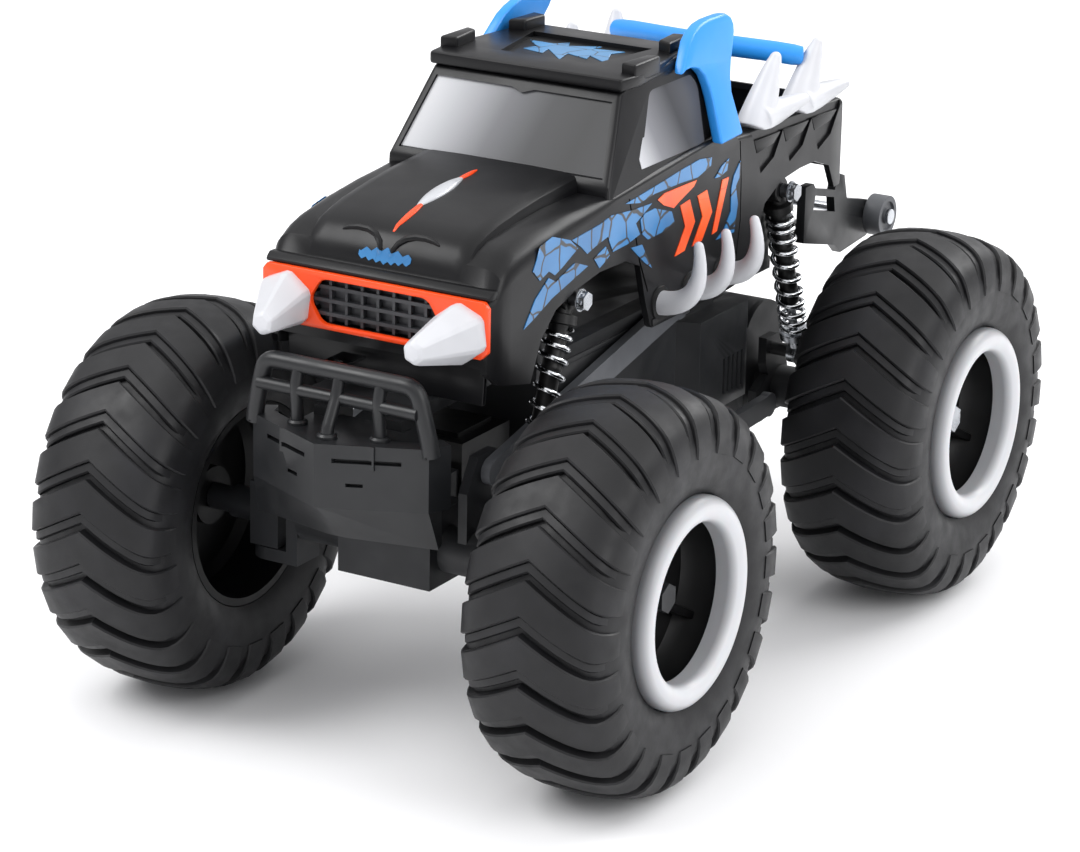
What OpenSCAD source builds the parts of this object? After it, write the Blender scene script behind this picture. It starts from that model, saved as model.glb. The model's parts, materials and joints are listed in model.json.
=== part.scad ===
// Amphibious remote control car: a big-wheel monster truck on two sprung live axles.
// The front points to -Y, the vehicle's left side to +X, and the tyres stand on z = 0.

/* [Wheels] */
// Tyre diameter over the lugs
tyre_d = 120; // [118:1:122]
// Tyre width
tyre_w = 47.4; // [46:0.2:48]
// Distance between the centre planes of the left and right tyres
track = 149.2; // [149:0.2:152]
// Distance between the front and the rear axle
wheelbase = 193.4; // [193:0.2:194]
// Number of chevron lugs around a tyre
lug_count = 24; // [20:1:26]

/* [Body shell] */
// Width of the shell over the doors
shell_w = 78; // [77.6:0.2:78.4]
// Wall thickness of the shell
shell_t = 2; // [1.6:0.1:2.2]
// Thickness of the window panels
glass_t = 1.2; // [1:0.1:1.4]
// Thickness of the stickers
sticker_t = 0.25; // [0.2:0.05:0.4]

/* [Running gear] */
// Half the width of the lower hull
hull_half_w = 23.5; // [23:0.1:23.5]
// Diameter of the wheel axle shafts
shaft_d = 5; // [4.8:0.1:5]
// Radial running clearance of shafts and pins
run_gap = 0.05; // [0.03:0.01:0.08]
// Module of the gear teeth
gear_m = 0.6; // [0.6:0.01:0.61]
// Teeth of the large gears
big_teeth = 36; // [36:1:36]
// Teeth of the pinions
small_teeth = 12; // [12:1:12]
// Number of turns of a shock spring
coil_turns = 12; // [8:1:13]

/* [Hidden] */
$fn = 48;

eps = 0.01;
tyre_r = tyre_d / 2;
tyre_half = tyre_w / 2;
wheel_x = track / 2;
front_y = -wheelbase / 2;
rear_y = wheelbase / 2;
axle_z = tyre_r;
shaft_r = shaft_d / 2;
side_x = shell_w / 2;

// The bead bore of the tyre, which is also the outside of the rim
bead_r = 31.6;
ring_in_r = 23.5;
groove_depth = 3.4;
// How far the tip of a chevron lug leads its shoulders
lug_lead = 12.4;
// The kingpins that the front wheels steer about
kingpin_x = 46;
kingpin_r = 1.5;
steer_arm = 14;
tie_y = front_y + steer_arm;
servo_y = tie_y + steer_arm;

pin_r = 1.5;
link_x = [25.2, 28.2];
ear_x = [22, 25];
front_pivot = [20, 108];
rear_pivot = [-12, 54];
front_link_end = [-91, 84.5];
rear_link_end = [84.5, 57];

shock_x = 34.25;
shock_half_w = 2.25;
front_shock_top = [-64, 132];
front_shock_foot = [-85, 72];
rear_shock_top = [70, 135];
rear_shock_foot = [90, 75];
coil_r = 4;
wire_r = 0.8;
// The foot eye is larger than its pin, because the foot pivot is left open
foot_eye_r = 2.3;

hull_y = [-48, 50];
hull_z = [50, 104];
deck_z = [106, 110];
door_y = [-30, 19.8];
door_pin = [22, 51.9];

roller_at = [147, 109];
roller_r = 7;

gear_tip = 0.8;
gear_angle = 25;
// Each tooth flank is set back by this much, so meshed teeth never bind
flank_gap = 0.05;
big_r = gear_m * big_teeth / 2;
small_r = gear_m * small_teeth / 2;
gear_gap = big_r + small_r;
idler_at = [rear_y, axle_z + gear_gap];
motor_at = [rear_y - gear_gap, axle_z + gear_gap];
case_x = [-1.5, 16.5];

// ---------- shared shapes ----------

// The same children on the left and on the right side
module both_sides() {
    children();
    mirror([1, 0, 0]) children();
}

// An outline in (y, z) that runs from x0 to x1
module side_plate(x0, x1, outline) {
    translate([x0, 0, 0]) rotate([90, 0, 90]) linear_extrude(x1 - x0) polygon(outline);
}

// An outline in (x, z) that runs from y0 to y1
module front_plate(y0, y1, outline) {
    translate([0, y1, 0]) rotate([90, 0, 0]) linear_extrude(y1 - y0) polygon(outline);
}

// An outline in (x, y) that runs from z0 to z1
module plan_plate(z0, z1, outline) {
    translate([0, 0, z0]) linear_extrude(z1 - z0) polygon(outline);
}

// A round bar along X, from x0 to x1, at a (y, z) place
module x_bar(r, x0, x1, at) {
    translate([x0, at[0], at[1]]) rotate([0, 90, 0]) cylinder(r = r, h = x1 - x0);
}

// A round bar along Z, from z0 to z1, at an (x, y) place
module z_bar(r, z0, z1, at) {
    translate([at[0], at[1], z0]) cylinder(r = r, h = z1 - z0);
}

// A block from its low corner to its high corner
module block(low, high) {
    translate(low) cube(high - low);
}

// The mirror image of half an outline, added to it, for outlines that cross x = 0
function whole(half) = concat(half, [for (i = [len(half) - 1:-1:0]) [-half[i][0], half[i][1]]]);

// A round bar between two points
module bar(a, b, r) {
    d = b - a;
    turn = acos(d[2] / norm(d));
    spin = atan2(d[1], d[0]);
    translate(a) rotate([0, turn, spin]) cylinder(r = r, h = norm(d));
}

function unit(v) = v / norm(v);
function tangent(path, i) =
    unit(path[min(i + 1, len(path) - 1)] - path[max(i - 1, 0)]);

// A tapering horn or wire along a path; side_way is a direction that the path never takes
module sweep(path, radii, sides, side_way) {
    n = len(path);
    rings = [for (i = [0:n - 1])
        let (t = tangent(path, i), u = unit(cross(side_way, t)), v = cross(t, u))
        for (k = [0:sides - 1])
            path[i] + radii[i] * (cos(360 * k / sides) * u + sin(360 * k / sides) * v)];
    skin = [for (i = [0:n - 2], k = [0:sides - 1])
        let (a = i * sides + k, b = i * sides + (k + 1) % sides)
        each [[a, a + sides, b], [b, a + sides, b + sides]]];
    first = [for (k = [0:sides - 1]) k];
    last = [for (k = [sides - 1:-1:0]) (n - 1) * sides + k];
    polyhedron(rings, concat(skin, [first, last]), convexity = 6);
}

// Points of a smooth curve through three control points
function bend(a, b, c, steps) = [for (i = [0:steps])
    let (t = i / steps) (1 - t) * (1 - t) * a + 2 * t * (1 - t) * b + t * t * c];
function taper(r0, r1, steps) = [for (i = [0:steps]) r0 + (r1 - r0) * pow(i / steps, 1.3)];

// ---------- wheels ----------

// A wheel is drawn around Z with its outer face up, then laid on its axle
module place_wheel(y) {
    translate([wheel_x, y, axle_z]) rotate([0, 90, 0]) children();
}

tread_outline = [[44, -tyre_half], [50.4, -23], [55.8, -20.1], [58.5, -14.2], [59.7, -7.1],
    [tyre_r, 0], [59.7, 7.1], [58.5, 14.2], [55.8, 20.1], [50.4, 23], [44, tyre_half]];
carcass_outline = [[bead_r, -20.5], [38, -22.7], [44, -23], [50, -21.5], [53.5, -17],
    [56, -10], [tyre_r - groove_depth, 0], [56, 10], [53.5, 17], [50, 21.5], [44, 23],
    [38, 22.7], [bead_r, 20.5], [bead_r, 14], [36, 18], [46, 18], [51, 12], [53, 0],
    [51, -12], [46, -18], [36, -18], [bead_r, -14]];

module lug() {
    half = 6.3;
    lean = lug_lead / 2;
    rotate([0, 90, 0]) translate([0, 0, 48]) linear_extrude(14)
        polygon([[0, -half - lean], [24.5, -half + lean], [24.5, half + lean],
            [0, half - lean], [-24.5, half + lean], [-24.5, -half + lean]]);
}

module tyre() {
    color("#26262a") {
        rotate_extrude() polygon(carcass_outline);
        intersection() {
            rotate_extrude() polygon(tread_outline);
            for (k = [0:lug_count - 1]) rotate([0, 0, 0.9 + 360 * k / lug_count]) lug();
        }
    }
}

module rim(bore) {
    color("#17171a") rotate_extrude()
        polygon([[bore, -6], [9, -6], [9, 1], [29.2, 1], [29.2, -20.5], [bead_r, -20.5],
            [bead_r, 17], [29.2, 17], [29.2, 4], [9, 4], [9, 10], [bore, 10]]);
}

module bead_ring() {
    round_r = (bead_r - ring_in_r) / 2;
    color("#dcdcdf") rotate_extrude() {
        translate([ring_in_r + round_r, 21]) circle(r = round_r);
        translate([ring_in_r + 1, 17]) square([6.1, 4]);
    }
}

module front_tyre_left() { place_wheel(front_y) tyre(); }
module front_tyre_right() { mirror([1, 0, 0]) place_wheel(front_y) tyre(); }
module rear_tyres() { both_sides() place_wheel(rear_y) tyre(); }
module front_rim_left() { place_wheel(front_y) rim(shaft_r + run_gap); }
module front_rim_right() { mirror([1, 0, 0]) place_wheel(front_y) rim(shaft_r + run_gap); }
module rear_rims() { both_sides() place_wheel(rear_y) rim(shaft_r); }
module front_ring_left() { place_wheel(front_y) bead_ring(); }
module front_ring_right() { mirror([1, 0, 0]) place_wheel(front_y) bead_ring(); }
module rear_rings() { both_sides() place_wheel(rear_y) bead_ring(); }

// ---------- front axle with steering ----------

// The ear beside a live axle that takes the link and the foot of the shock
front_ear = [[-102, 62], [-91, 62], [-89, 68.3], [-82, 68.3], [-81, 76], [-86, 80],
    [-86, 90], [-96, 90], [-102, 80]];
rear_ear = [[80, 53], [100, 52], [103, 62], [100, 72], [94, 79], [86, 79], [86, 70],
    [88, 66], [80, 62]];

module shock_foot_pin(at) {
    x_bar(2.2, ear_x[1] - 1, 31.7, at);
    x_bar(pin_r, ear_x[1], 37.6, at);
    x_bar(2.6, 37.2, 38.6, at);
}

module c_hub() {
    difference() {
        union() {
            block([34, front_y - 6, 45.7], [38, front_y + 6, 74.3]);
            for (z = [45.7, 70.3]) {
                block([34, front_y - 6, z], [kingpin_x, front_y + 6, z + 4]);
                z_bar(6, z, z + 4, [kingpin_x, front_y]);
            }
        }
        z_bar(kingpin_r, 40, 80, [kingpin_x, front_y]);
    }
}

module front_axle_housing() {
    color("#3a3a3e") {
        x_bar(7, -34, 34, [front_y, axle_z]);
        block([-16, front_y - 11, 50], [16, front_y + 8.5, 73]);
        block([-11, front_y + 6, 70], [11, -84, 80]);
        both_sides() {
            c_hub();
            difference() {
                side_plate(ear_x[0], ear_x[1], front_ear);
                x_bar(pin_r, 20, 40, front_link_end);
            }
            shock_foot_pin(front_shock_foot);
        }
    }
}

module link_bar(pivot, end, width) {
    d = unit(end - pivot);
    side = [-d[1], d[0]] * width / 2;
    difference() {
        union() {
            x_bar(5, link_x[0], link_x[1], pivot);
            x_bar(4, link_x[0], link_x[1], end);
            side_plate(link_x[0], link_x[1],
                [pivot + side, end + side, end - side, pivot - side]);
        }
        x_bar(pin_r + run_gap, 20, 40, pivot);
    }
    x_bar(pin_r, ear_x[0], link_x[0] + eps, end);
    x_bar(2.6, ear_x[1], link_x[0] + eps, end);
}

module front_links() {
    color("#85868a") both_sides() link_bar(front_pivot, front_link_end, 8);
}

module kingpins() {
    color("#b9bcc0") both_sides() {
        z_bar(kingpin_r, 45.7, 74.3, [kingpin_x, front_y]);
        z_bar(2.6, 74.3, 75.6, [kingpin_x, front_y]);
        z_bar(2.6, 44.4, 45.7, [kingpin_x, front_y]);
    }
}

module steering_servo() {
    color("#1d1d20") difference() {
        union() {
            block([-12, -84, 68.6], [12, -57, 88]);
            block([-8, -80, 88], [8, -61, 89.5]);
        }
        z_bar(2 + run_gap, 68, 77, [0, servo_y]);
    }
}

module servo_horn() {
    color("#e8e8ea") {
        z_bar(2, 58, 76, [0, servo_y]);
        z_bar(4, 58, 62, [0, servo_y]);
        z_bar(3, 58, 62, [0, tie_y]);
        plan_plate(58, 62, [[-4, servo_y], [4, servo_y], [3, tie_y], [-3, tie_y]]);
        z_bar(pin_r, 61, 67.8, [0, tie_y]);
    }
}

// The tie rod's slots let the arms' pins swing on their arc; reach is how far a pin moves in y
module tie_slot(x, reach) {
    r = pin_r + 0.15;
    z_bar(r, 60, 70, [x, tie_y]);
    z_bar(r, 60, 70, [x, tie_y + reach]);
    block([x - r, min(tie_y, tie_y + reach), 60], [x + r, max(tie_y, tie_y + reach), 70]);
}

module tie_rod() {
    color("#2b2b2e") difference() {
        union() {
            block([-46, tie_y - 2.5, 62.4], [46, tie_y + 2.5, 66.3]);
            for (x = [-kingpin_x, 0, kingpin_x]) z_bar(4.5, 62.4, 66.3, [x, tie_y]);
        }
        for (x = [-kingpin_x, kingpin_x]) tie_slot(x, -0.8);
        tie_slot(0, 0.8);
    }
}

module knuckle() {
    color("#303034") difference() {
        union() {
            block([41, front_y - 6, 50], [51, front_y + 6, 70]);
            x_bar(5, 50, 60, [front_y, axle_z]);
            x_bar(4, 60, 68.3, [front_y, axle_z]);
            x_bar(shaft_r, 68, 88, [front_y, axle_z]);
            translate([84.9, front_y, axle_z]) rotate([0, 90, 0]) cylinder(r = 4.6, h = 4.5, $fn = 6);
            plan_plate(58, 62, [[42, front_y + 5], [50, front_y + 5], [49.3, tie_y], [42.7, tie_y]]);
            z_bar(3.3, 58, 62, [kingpin_x, tie_y]);
            z_bar(pin_r, 61, 67.8, [kingpin_x, tie_y]);
        }
        z_bar(kingpin_r + run_gap, 49, 71, [kingpin_x, front_y]);
    }
}

module knuckle_left() { knuckle(); }
module knuckle_right() { mirror([1, 0, 0]) knuckle(); }

// ---------- rear axle with gearbox ----------

// The gearbox outline in (y, z), grown by wall
module case_outline(wall) {
    translate([rear_y, axle_z]) circle(r = big_r + 1.2 + wall);
    translate(idler_at) circle(r = big_r + 1.2 + wall);
    translate(motor_at) circle(r = small_r + 2 + wall);
    polygon([[rear_y + big_r + 1.2 + wall, axle_z], [rear_y + big_r + 1.2 + wall, idler_at[1]],
        [idler_at[0], idler_at[1] + small_r + 2 + wall], [motor_at[0], idler_at[1] + small_r + 2 + wall],
        [motor_at[0], idler_at[1] - small_r - 2 - wall], [rear_y - big_r - 1.2 - wall, axle_z]]);
}

module case_slab(x0, x1, wall) {
    translate([x0, 0, 0]) rotate([90, 0, 90]) linear_extrude(x1 - x0) case_outline(wall);
}

module rear_arm() {
    difference() {
        union() {
            x_bar(7, case_x[1] + 2, 50, [rear_y, axle_z]);
            side_plate(ear_x[0], ear_x[1], rear_ear);
        }
        x_bar(shaft_r + run_gap, 10, 60, [rear_y, axle_z]);
        x_bar(pin_r, 20, 40, rear_link_end);
    }
    shock_foot_pin(rear_shock_foot);
}

module rear_axle_housing() {
    color("#3a3a3e") {
        mirror([1, 0, 0]) rear_arm();
        difference() {
            union() {
                case_slab(case_x[0], case_x[1], 2);
                x_bar(7, -case_x[1] - 2.5, case_x[0] + eps, [rear_y, axle_z]);
            }
            case_slab(case_x[0] + 2, case_x[1] + 1, 0);
            x_bar(shaft_r + run_gap, -60, 60, [rear_y, axle_z]);
            x_bar(1.2, -5, 5, motor_at);
        }
        x_bar(1.45, case_x[0] + 1, case_x[1], idler_at);
    }
}

module gearbox_cover() {
    color("#44454a") {
        rear_arm();
        difference() {
            case_slab(case_x[1], case_x[1] + 2.01, 2);
            x_bar(shaft_r + run_gap, 10, 60, [rear_y, axle_z]);
        }
    }
}

module rear_links() {
    color("#85868a") both_sides() link_bar(rear_pivot, rear_link_end, 7);
}

module drive_motor() {
    color("#c3c6ca") difference() {
        union() {
            x_bar(9.8, -20.5, case_x[0], motor_at);
            x_bar(3, -21.6, -20.5, motor_at);
        }
        x_bar(1.05, -20, 0, motor_at);
    }
}

// One tooth of an involute gear on its pitch circle, as points of half its outline
function involute(base_r, r) = let (a = acos(min(1, base_r / r))) tan(a) * 180 / PI - a;
function flank(teeth, r) = let (pitch_r = gear_m * teeth / 2, base_r = pitch_r * cos(gear_angle))
    90 / teeth - flank_gap / pitch_r * 180 / PI
    + involute(base_r, pitch_r) - involute(base_r, max(r, base_r));
function tooth(teeth, steps) = let (
        root_r = gear_m * (teeth / 2 - 1.05), tip_r = gear_m * (teeth / 2 + gear_tip))
    [for (i = [0:steps]) let (r = root_r + (tip_r - root_r) * i / steps) [r, flank(teeth, r)]];

module gear(teeth, x0, x1, at, phase) {
    half = tooth(teeth, 5);
    outline = [for (k = [0:teeth - 1]) each concat(
        [for (p = half) p[0] * [cos(360 * k / teeth + phase - p[1]), sin(360 * k / teeth + phase - p[1])]],
        [for (i = [len(half) - 1:-1:0]) half[i][0] * [cos(360 * k / teeth + phase + half[i][1]),
            sin(360 * k / teeth + phase + half[i][1])]])];
    side_plate(x0, x1, [for (p = outline) p + at]);
}

module drive_gear() {
    color("#d9d4c4") difference() {
        union() {
            gear(big_teeth, 2.5, 7.5, [rear_y, axle_z], 90);
            x_bar(5, 1, 9, [rear_y, axle_z]);
        }
        x_bar(shaft_r, 0, 20, [rear_y, axle_z]);
    }
}

module idler_gear() {
    color("#d9d4c4") difference() {
        union() {
            gear(small_teeth, 2, 9, idler_at, 270 + 180 / small_teeth);
            gear(big_teeth, 9, 13.5, idler_at, 180);
        }
        x_bar(1.45 + run_gap, 0, 20, idler_at);
    }
}

module motor_pinion() {
    color("#c9a24a") {
        gear(small_teeth, 8.5, 14, motor_at, 180 / small_teeth);
        x_bar(1, -18, 15, motor_at);
    }
}

module rear_shaft() {
    color("#b9bcc0") {
        x_bar(shaft_r, -86, 86, [rear_y, axle_z]);
        for (x = [-89.4, 84.9])
            translate([x, rear_y, axle_z]) rotate([0, 90, 0]) cylinder(r = 4.6, h = 4.5, $fn = 6);
    }
}

// ---------- shocks ----------

// A shock is drawn hanging down from its top pivot, then tilted to its foot
module tilt_shock(top, foot) {
    d = foot - top;
    both_sides() translate([0, top[0], top[1]]) rotate([atan2(d[0], -d[1]), 0, 0]) children();
}

module shock_body() {
    color("#1b1b1e") difference() {
        union() {
            x_bar(4.2, shock_x - shock_half_w, shock_x + shock_half_w, [0, 0]);
            z_bar(3, -36, -3.3, [shock_x, 0]);
            z_bar(4.9, -8, -5, [shock_x, 0]);
        }
        x_bar(pin_r + run_gap, 30, 40, [0, 0]);
        z_bar(pin_r + run_gap, -40, -12, [shock_x, 0]);
    }
}

module shock_rod(length) {
    color("#c3c6ca") difference() {
        union() {
            z_bar(pin_r, -length + 3, -24, [shock_x, 0]);
            z_bar(4.9, -length + 6.5, -length + 9, [shock_x, 0]);
            z_bar(2.4, -length + 2, -length + 7, [shock_x, 0]);
            x_bar(3.7, shock_x - shock_half_w, shock_x + shock_half_w, [0, -length]);
        }
        x_bar(foot_eye_r, 30, 40, [0, -length]);
    }
}

module shock_coil(length) {
    top = -8.1 - wire_r;
    drop = length - 9.1 - 8.1 - 2 * wire_r;
    steps = 10 * coil_turns;
    path = [for (i = [0:steps]) [shock_x + coil_r * cos(36 * i), coil_r * sin(36 * i), top - drop * i / steps]];
    color("#cfd2d6") sweep(path, [for (p = path) wire_r], 5, [0, 0, 1]);
}

module front_shock_bodies() { tilt_shock(front_shock_top, front_shock_foot) shock_body(); }
module front_shock_rods() {
    tilt_shock(front_shock_top, front_shock_foot) shock_rod(norm(front_shock_foot - front_shock_top));
}
module front_springs() {
    tilt_shock(front_shock_top, front_shock_foot) shock_coil(norm(front_shock_foot - front_shock_top));
}
module rear_shock_bodies() { tilt_shock(rear_shock_top, rear_shock_foot) shock_body(); }
module rear_shock_rods() {
    tilt_shock(rear_shock_top, rear_shock_foot) shock_rod(norm(rear_shock_foot - rear_shock_top));
}
module rear_springs() {
    tilt_shock(rear_shock_top, rear_shock_foot) shock_coil(norm(rear_shock_foot - rear_shock_top));
}

// ---------- hull and what it holds ----------

pod = [[19.5, 24], [31, 28], [31, 60], [27, 64], [22, 64], [22, 50], [19.5, 50]];
pod_inside = [[18, 26], [29, 30], [29, 59], [26.5, 62], [24, 62], [24, 48], [18, 48]];

module hull_outline(grow, floor_z) {
    intersection() {
        block([-hull_half_w + grow, hull_y[0] + grow, floor_z],
            [hull_half_w - grow, hull_y[1] - grow, hull_z[1]]);
        front_plate(hull_y[0], hull_y[1], whole([[17 - grow, floor_z],
            [hull_half_w - grow, floor_z + 6], [hull_half_w - grow, hull_z[1]]]));
    }
}

module lower_hull() {
    color("#333438") {
        difference() {
            union() {
                hull_outline(0, hull_z[0]);
                both_sides() plan_plate(68, 100, pod);
            }
            difference() {
                union() {
                    hull_outline(2, hull_z[0] + 2);
                    both_sides() plan_plate(70, 98, pod_inside);
                }
                both_sides() x_bar(5, 16, 30, rear_pivot);
            }
            // battery hatch, hinge notch and switch slot
            block([-12, door_y[0], 49], [12, door_y[1] + 0.2, 53]);
            block([-12, 19, 49], [12, 24.4, 54.5]);
            block([-4, 37.6, 49], [4, 42.4, 53]);
            both_sides() {
                x_bar(pin_r, 15, 30, rear_pivot);
                for (y = [44:3:56]) block([30.2, y, 72], [32, y + 1.3, 84]);
            }
        }
        // hinge pin of the battery door, held in two cheeks
        x_bar(0.8, -12.5, 12.5, door_pin);
        both_sides() {
            block([8.4, 19.8, 50.6], [12.1, 24.5, 53.4]);
            // ledges under the receiver board
            block([18.2, -31, 82], [22, 31, 84]);
        }
        both_sides() difference() {
            x_bar(5, hull_half_w - 3, link_x[0] - 0.3, rear_pivot);
            x_bar(pin_r, 15, 30, rear_pivot);
        }
    }
}

module hull_lid() {
    color("#2e2f33") {
        block([-24.3, hull_y[0] - 1, hull_z[1]], [24.3, hull_y[1] + 1, deck_z[0]]);
        block([-18.9, hull_y[0] + 4.6, 101], [18.9, hull_y[1] - 4.6, hull_z[1]]);
    }
}

module lid_seal() {
    color("#a33a2a") difference() {
        block([-21.4, hull_y[0] + 2.1, 101.3], [21.4, hull_y[1] - 2.1, 103.8]);
        block([-18.9, hull_y[0] + 4.6, 100], [18.9, hull_y[1] - 4.6, 105]);
    }
}

module battery_pack() {
    color("#2f5f9a") difference() {
        block([-14.8, -29, 52], [14.8, 16, 78]);
        for (x = [-14.8, 0, 14.8]) block([x - 0.6, -30, 76.8], [x + 0.6, 17, 79]);
    }
}

module battery_door() {
    color("#3b3c41") difference() {
        union() {
            block([-11.8, door_y[0] + 0.3, 50], [11.8, door_y[1] - 0.8, 51.7]);
            block([-8, door_y[1] - 1, 50.2], [8, door_pin[0], 51.7]);
            x_bar(1.75, -8, 8, door_pin);
        }
        x_bar(0.8 + run_gap, -14, 14, door_pin);
        for (y = [-24:4:-8]) block([-8, y, 49.5], [8, y + 1.4, 50.5]);
    }
}

module receiver_board() {
    color("#1f6b3b") {
        block([-20, -30, 84], [20, 30, 85.6]);
        block([-9, -8, 85.6], [3, 4, 87.4]);
        block([6, -20, 85.6], [16, -10, 88.6]);
        block([-17, 12, 85.6], [-5, 24, 91]);
        z_bar(3, 85.6, 93, [10, 8]);
    }
}

module power_switch() {
    color("#c43a2c") {
        block([-3.4, 38.4, 48.6], [-0.6, 41.6, 52.5]);
        block([-7, 36.6, 52.05], [3.2, 43.4, 53.2]);
    }
}

// ---------- chassis deck, bolts ----------

deck_outline = [[18, -119], [18, -74], [29.1, -70], [29.1, -56], [24, -51], [24, 56],
    [29.1, 62], [29.1, 78], [16, 84], [16, 104]];

module shock_tower(at) {
    difference() {
        union() {
            side_plate(26.6, 29.1, [[at[0] - 7, deck_z[0]], [at[0] + 7, deck_z[0]],
                [at[0] + 4.5, at[1] + 4], [at[0] - 4.5, at[1] + 4]]);
            x_bar(3, 29, 31.8, at);
        }
        x_bar(pin_r, 20, 40, at);
    }
}

module chassis_deck() {
    color("#333438") {
        difference() {
            plan_plate(deck_z[0], deck_z[1], whole(deck_outline));
            both_sides() x_bar(pin_r, 10, 30, front_pivot);
        }
        both_sides() {
            shock_tower(front_shock_top);
            shock_tower(rear_shock_top);
            difference() {
                block([17, 13, deck_z[0]], [24.7, 27, 113.5]);
                x_bar(pin_r, 10, 30, front_pivot);
            }
            z_bar(3, deck_z[1] - 1, 156, [15, -92]);
            z_bar(3, deck_z[1] - 1, 146, [20, 48]);
        }
    }
}

module suspension_bolts() {
    color("#c9ccd0") both_sides() {
        for (at = [front_shock_top, rear_shock_top]) {
            x_bar(pin_r, 26.6, 39.4, at);
            x_bar(2.2, 36.7, 39.4, at);
            x_bar(3.4, 39.4, 39.9, at);
            translate([39.9, at[0], at[1]]) rotate([0, 90, 0]) cylinder(r = 2.9, h = 2.2, $fn = 6);
        }
        for (at = [front_pivot, rear_pivot]) {
            x_bar(pin_r, 20.5, link_x[1] + 0.3, at);
            x_bar(3, link_x[1] + 0.3, 30.2, at);
        }
    }
}

// ---------- body shell ----------

// Lower body seen from the side, (y, z), from the front valance round over the top
lower_side = [[-108, 117.4], [-111.5, 121], [-112, 141], [-109.2, 143.5], [-106.2, 151.2],
    [-98, 155.1], [-84, 157.2], [-67, 158.4], [-41.5, 158.3], [31, 164.5], [34, 160],
    [42.4, 159.9], [106.3, 158.3], [112.1, 144.7], [112.4, 133.8], [107, 129.5], [102.6, 129.2],
    [98, 137.5], [87.7, 141.1], [77, 141.1], [64.5, 139.9], [53.2, 134.8], [48.5, 125.4],
    [44.7, 113.2], [30, 112], [-19, 112], [-20.2, 113], [-23.9, 122], [-27.6, 133.5], [-36.3, 137.1],
    [-51.9, 137.5], [-66, 135.4], [-77.2, 132.2], [-85.4, 125.2], [-91, 113.5]];
hood_line = [[-108.3, 146.5], [-106, 152], [-101.6, 156.6], [-89.4, 160.2], [-66.5, 163.4], [-46, 164.6]];
hood_half_w = 27;
cab_side = [[-47, 150], [-47, 161.2], [-30.5, 186.2], [-26, 188.5], [16, 190.5], [22, 188], [33, 158], [33, 150]];
roof_plan = [[34.6, -25], [34.2, -20], [28.4, 16], [27, 19]];

// Half width of the cab at height z, from the lean of its sides
function cab_half_w(z) = 76.86 - 0.2375 * z;
cab_front = whole([[side_x, 150], [cab_half_w(161), 161], [cab_half_w(192), 192]]);
cab_front_inside = whole([[cab_half_w(148) - shell_t, 148], [cab_half_w(186) - shell_t, 186]]);

window_side = [[-25.5, 162.6], [-26, 165.7], [-14, 184.2], [11.6, 184.2], [15.6, 180], [13.7, 162.6]];
windshield_front = whole([[35.5, 163.4], [30.6, 183.6], [4, 183.6], [0, 182.4]]);
rear_glass_front = whole([[31, 166], [28, 183]]);
windshield_slab = [[-44.9, 162.8], [-30.3, 185], [-29.3, 185], [-43.9, 162.8]];
rear_glass_slab = [[30.4, 164], [22.9, 184.6], [21.9, 184.6], [29.4, 164]];

// Three slanted recesses along the bed's side, (y, z)
louver = [[0, 0], [23.5, -0.6], [15.8, -11], [7, -14.5]];
louver_pitch = 20;
louver_start = [42.5, 159.8];
tray = [[-33, 38], [33, 38], [33, 105], [-33, 105]];

module lower_body() {
    intersection() {
        side_plate(-side_x, side_x, lower_side);
        plan_plate(100, 180, whole([[34, -114], [side_x, -106], [side_x, 106], [33, 114]]));
    }
    side_plate(-hood_half_w, hood_half_w, concat([[-108.3, 140]], hood_line, [[-46, 140]]));
}

module cab() {
    intersection() {
        side_plate(-42, 42, cab_side);
        front_plate(-60, 50, cab_front);
    }
    translate([0, 0, 186.4]) rotate([1.6, 0, 0]) plan_plate(0, 4.2, whole(roof_plan));
    both_sides() {
        plan_plate(187, 193.8, [[28, -22], [34, -23], [33.6, -8], [29, -10]]);
        plan_plate(188, 194, [[23.5, 8], [28.5, 6], [27.5, 20], [22.5, 19]]);
        // mirror feet beside the windshield
        plan_plate(158, 161.6, [[38, -46], [41.4, -46], [39.5, -34], [38, -34]]);
    }
}

module shell_hollow() {
    t = shell_t;
    w = side_x - t;
    // engine bay, cab floor and bed, open below
    side_plate(-w, w, [[-109, 110], [-109.5, 141], [-105, 149.5], [-98, 153], [-84, 155],
        [-67, 156.2], [-41.5, 156.2], [31, 156.2], [35, 146], [104, 146], [109.6, 142],
        [110, 134], [106, 125], [106, 110]]);
    side_plate(-hood_half_w + t, hood_half_w - t, [[-100, 150], [-100, 154.6], [-89.4, 157.9],
        [-66.5, 161.2], [-46, 162.2], [-46, 150]]);
    intersection() {
        side_plate(-42, 42, [[-46, 150], [-44.6, 161.5], [-29, 184.6], [-25.5, 186], [16, 186],
            [20.4, 185], [29.8, 160], [30, 150]]);
        front_plate(-60, 50, cab_front_inside);
    }
}

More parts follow.
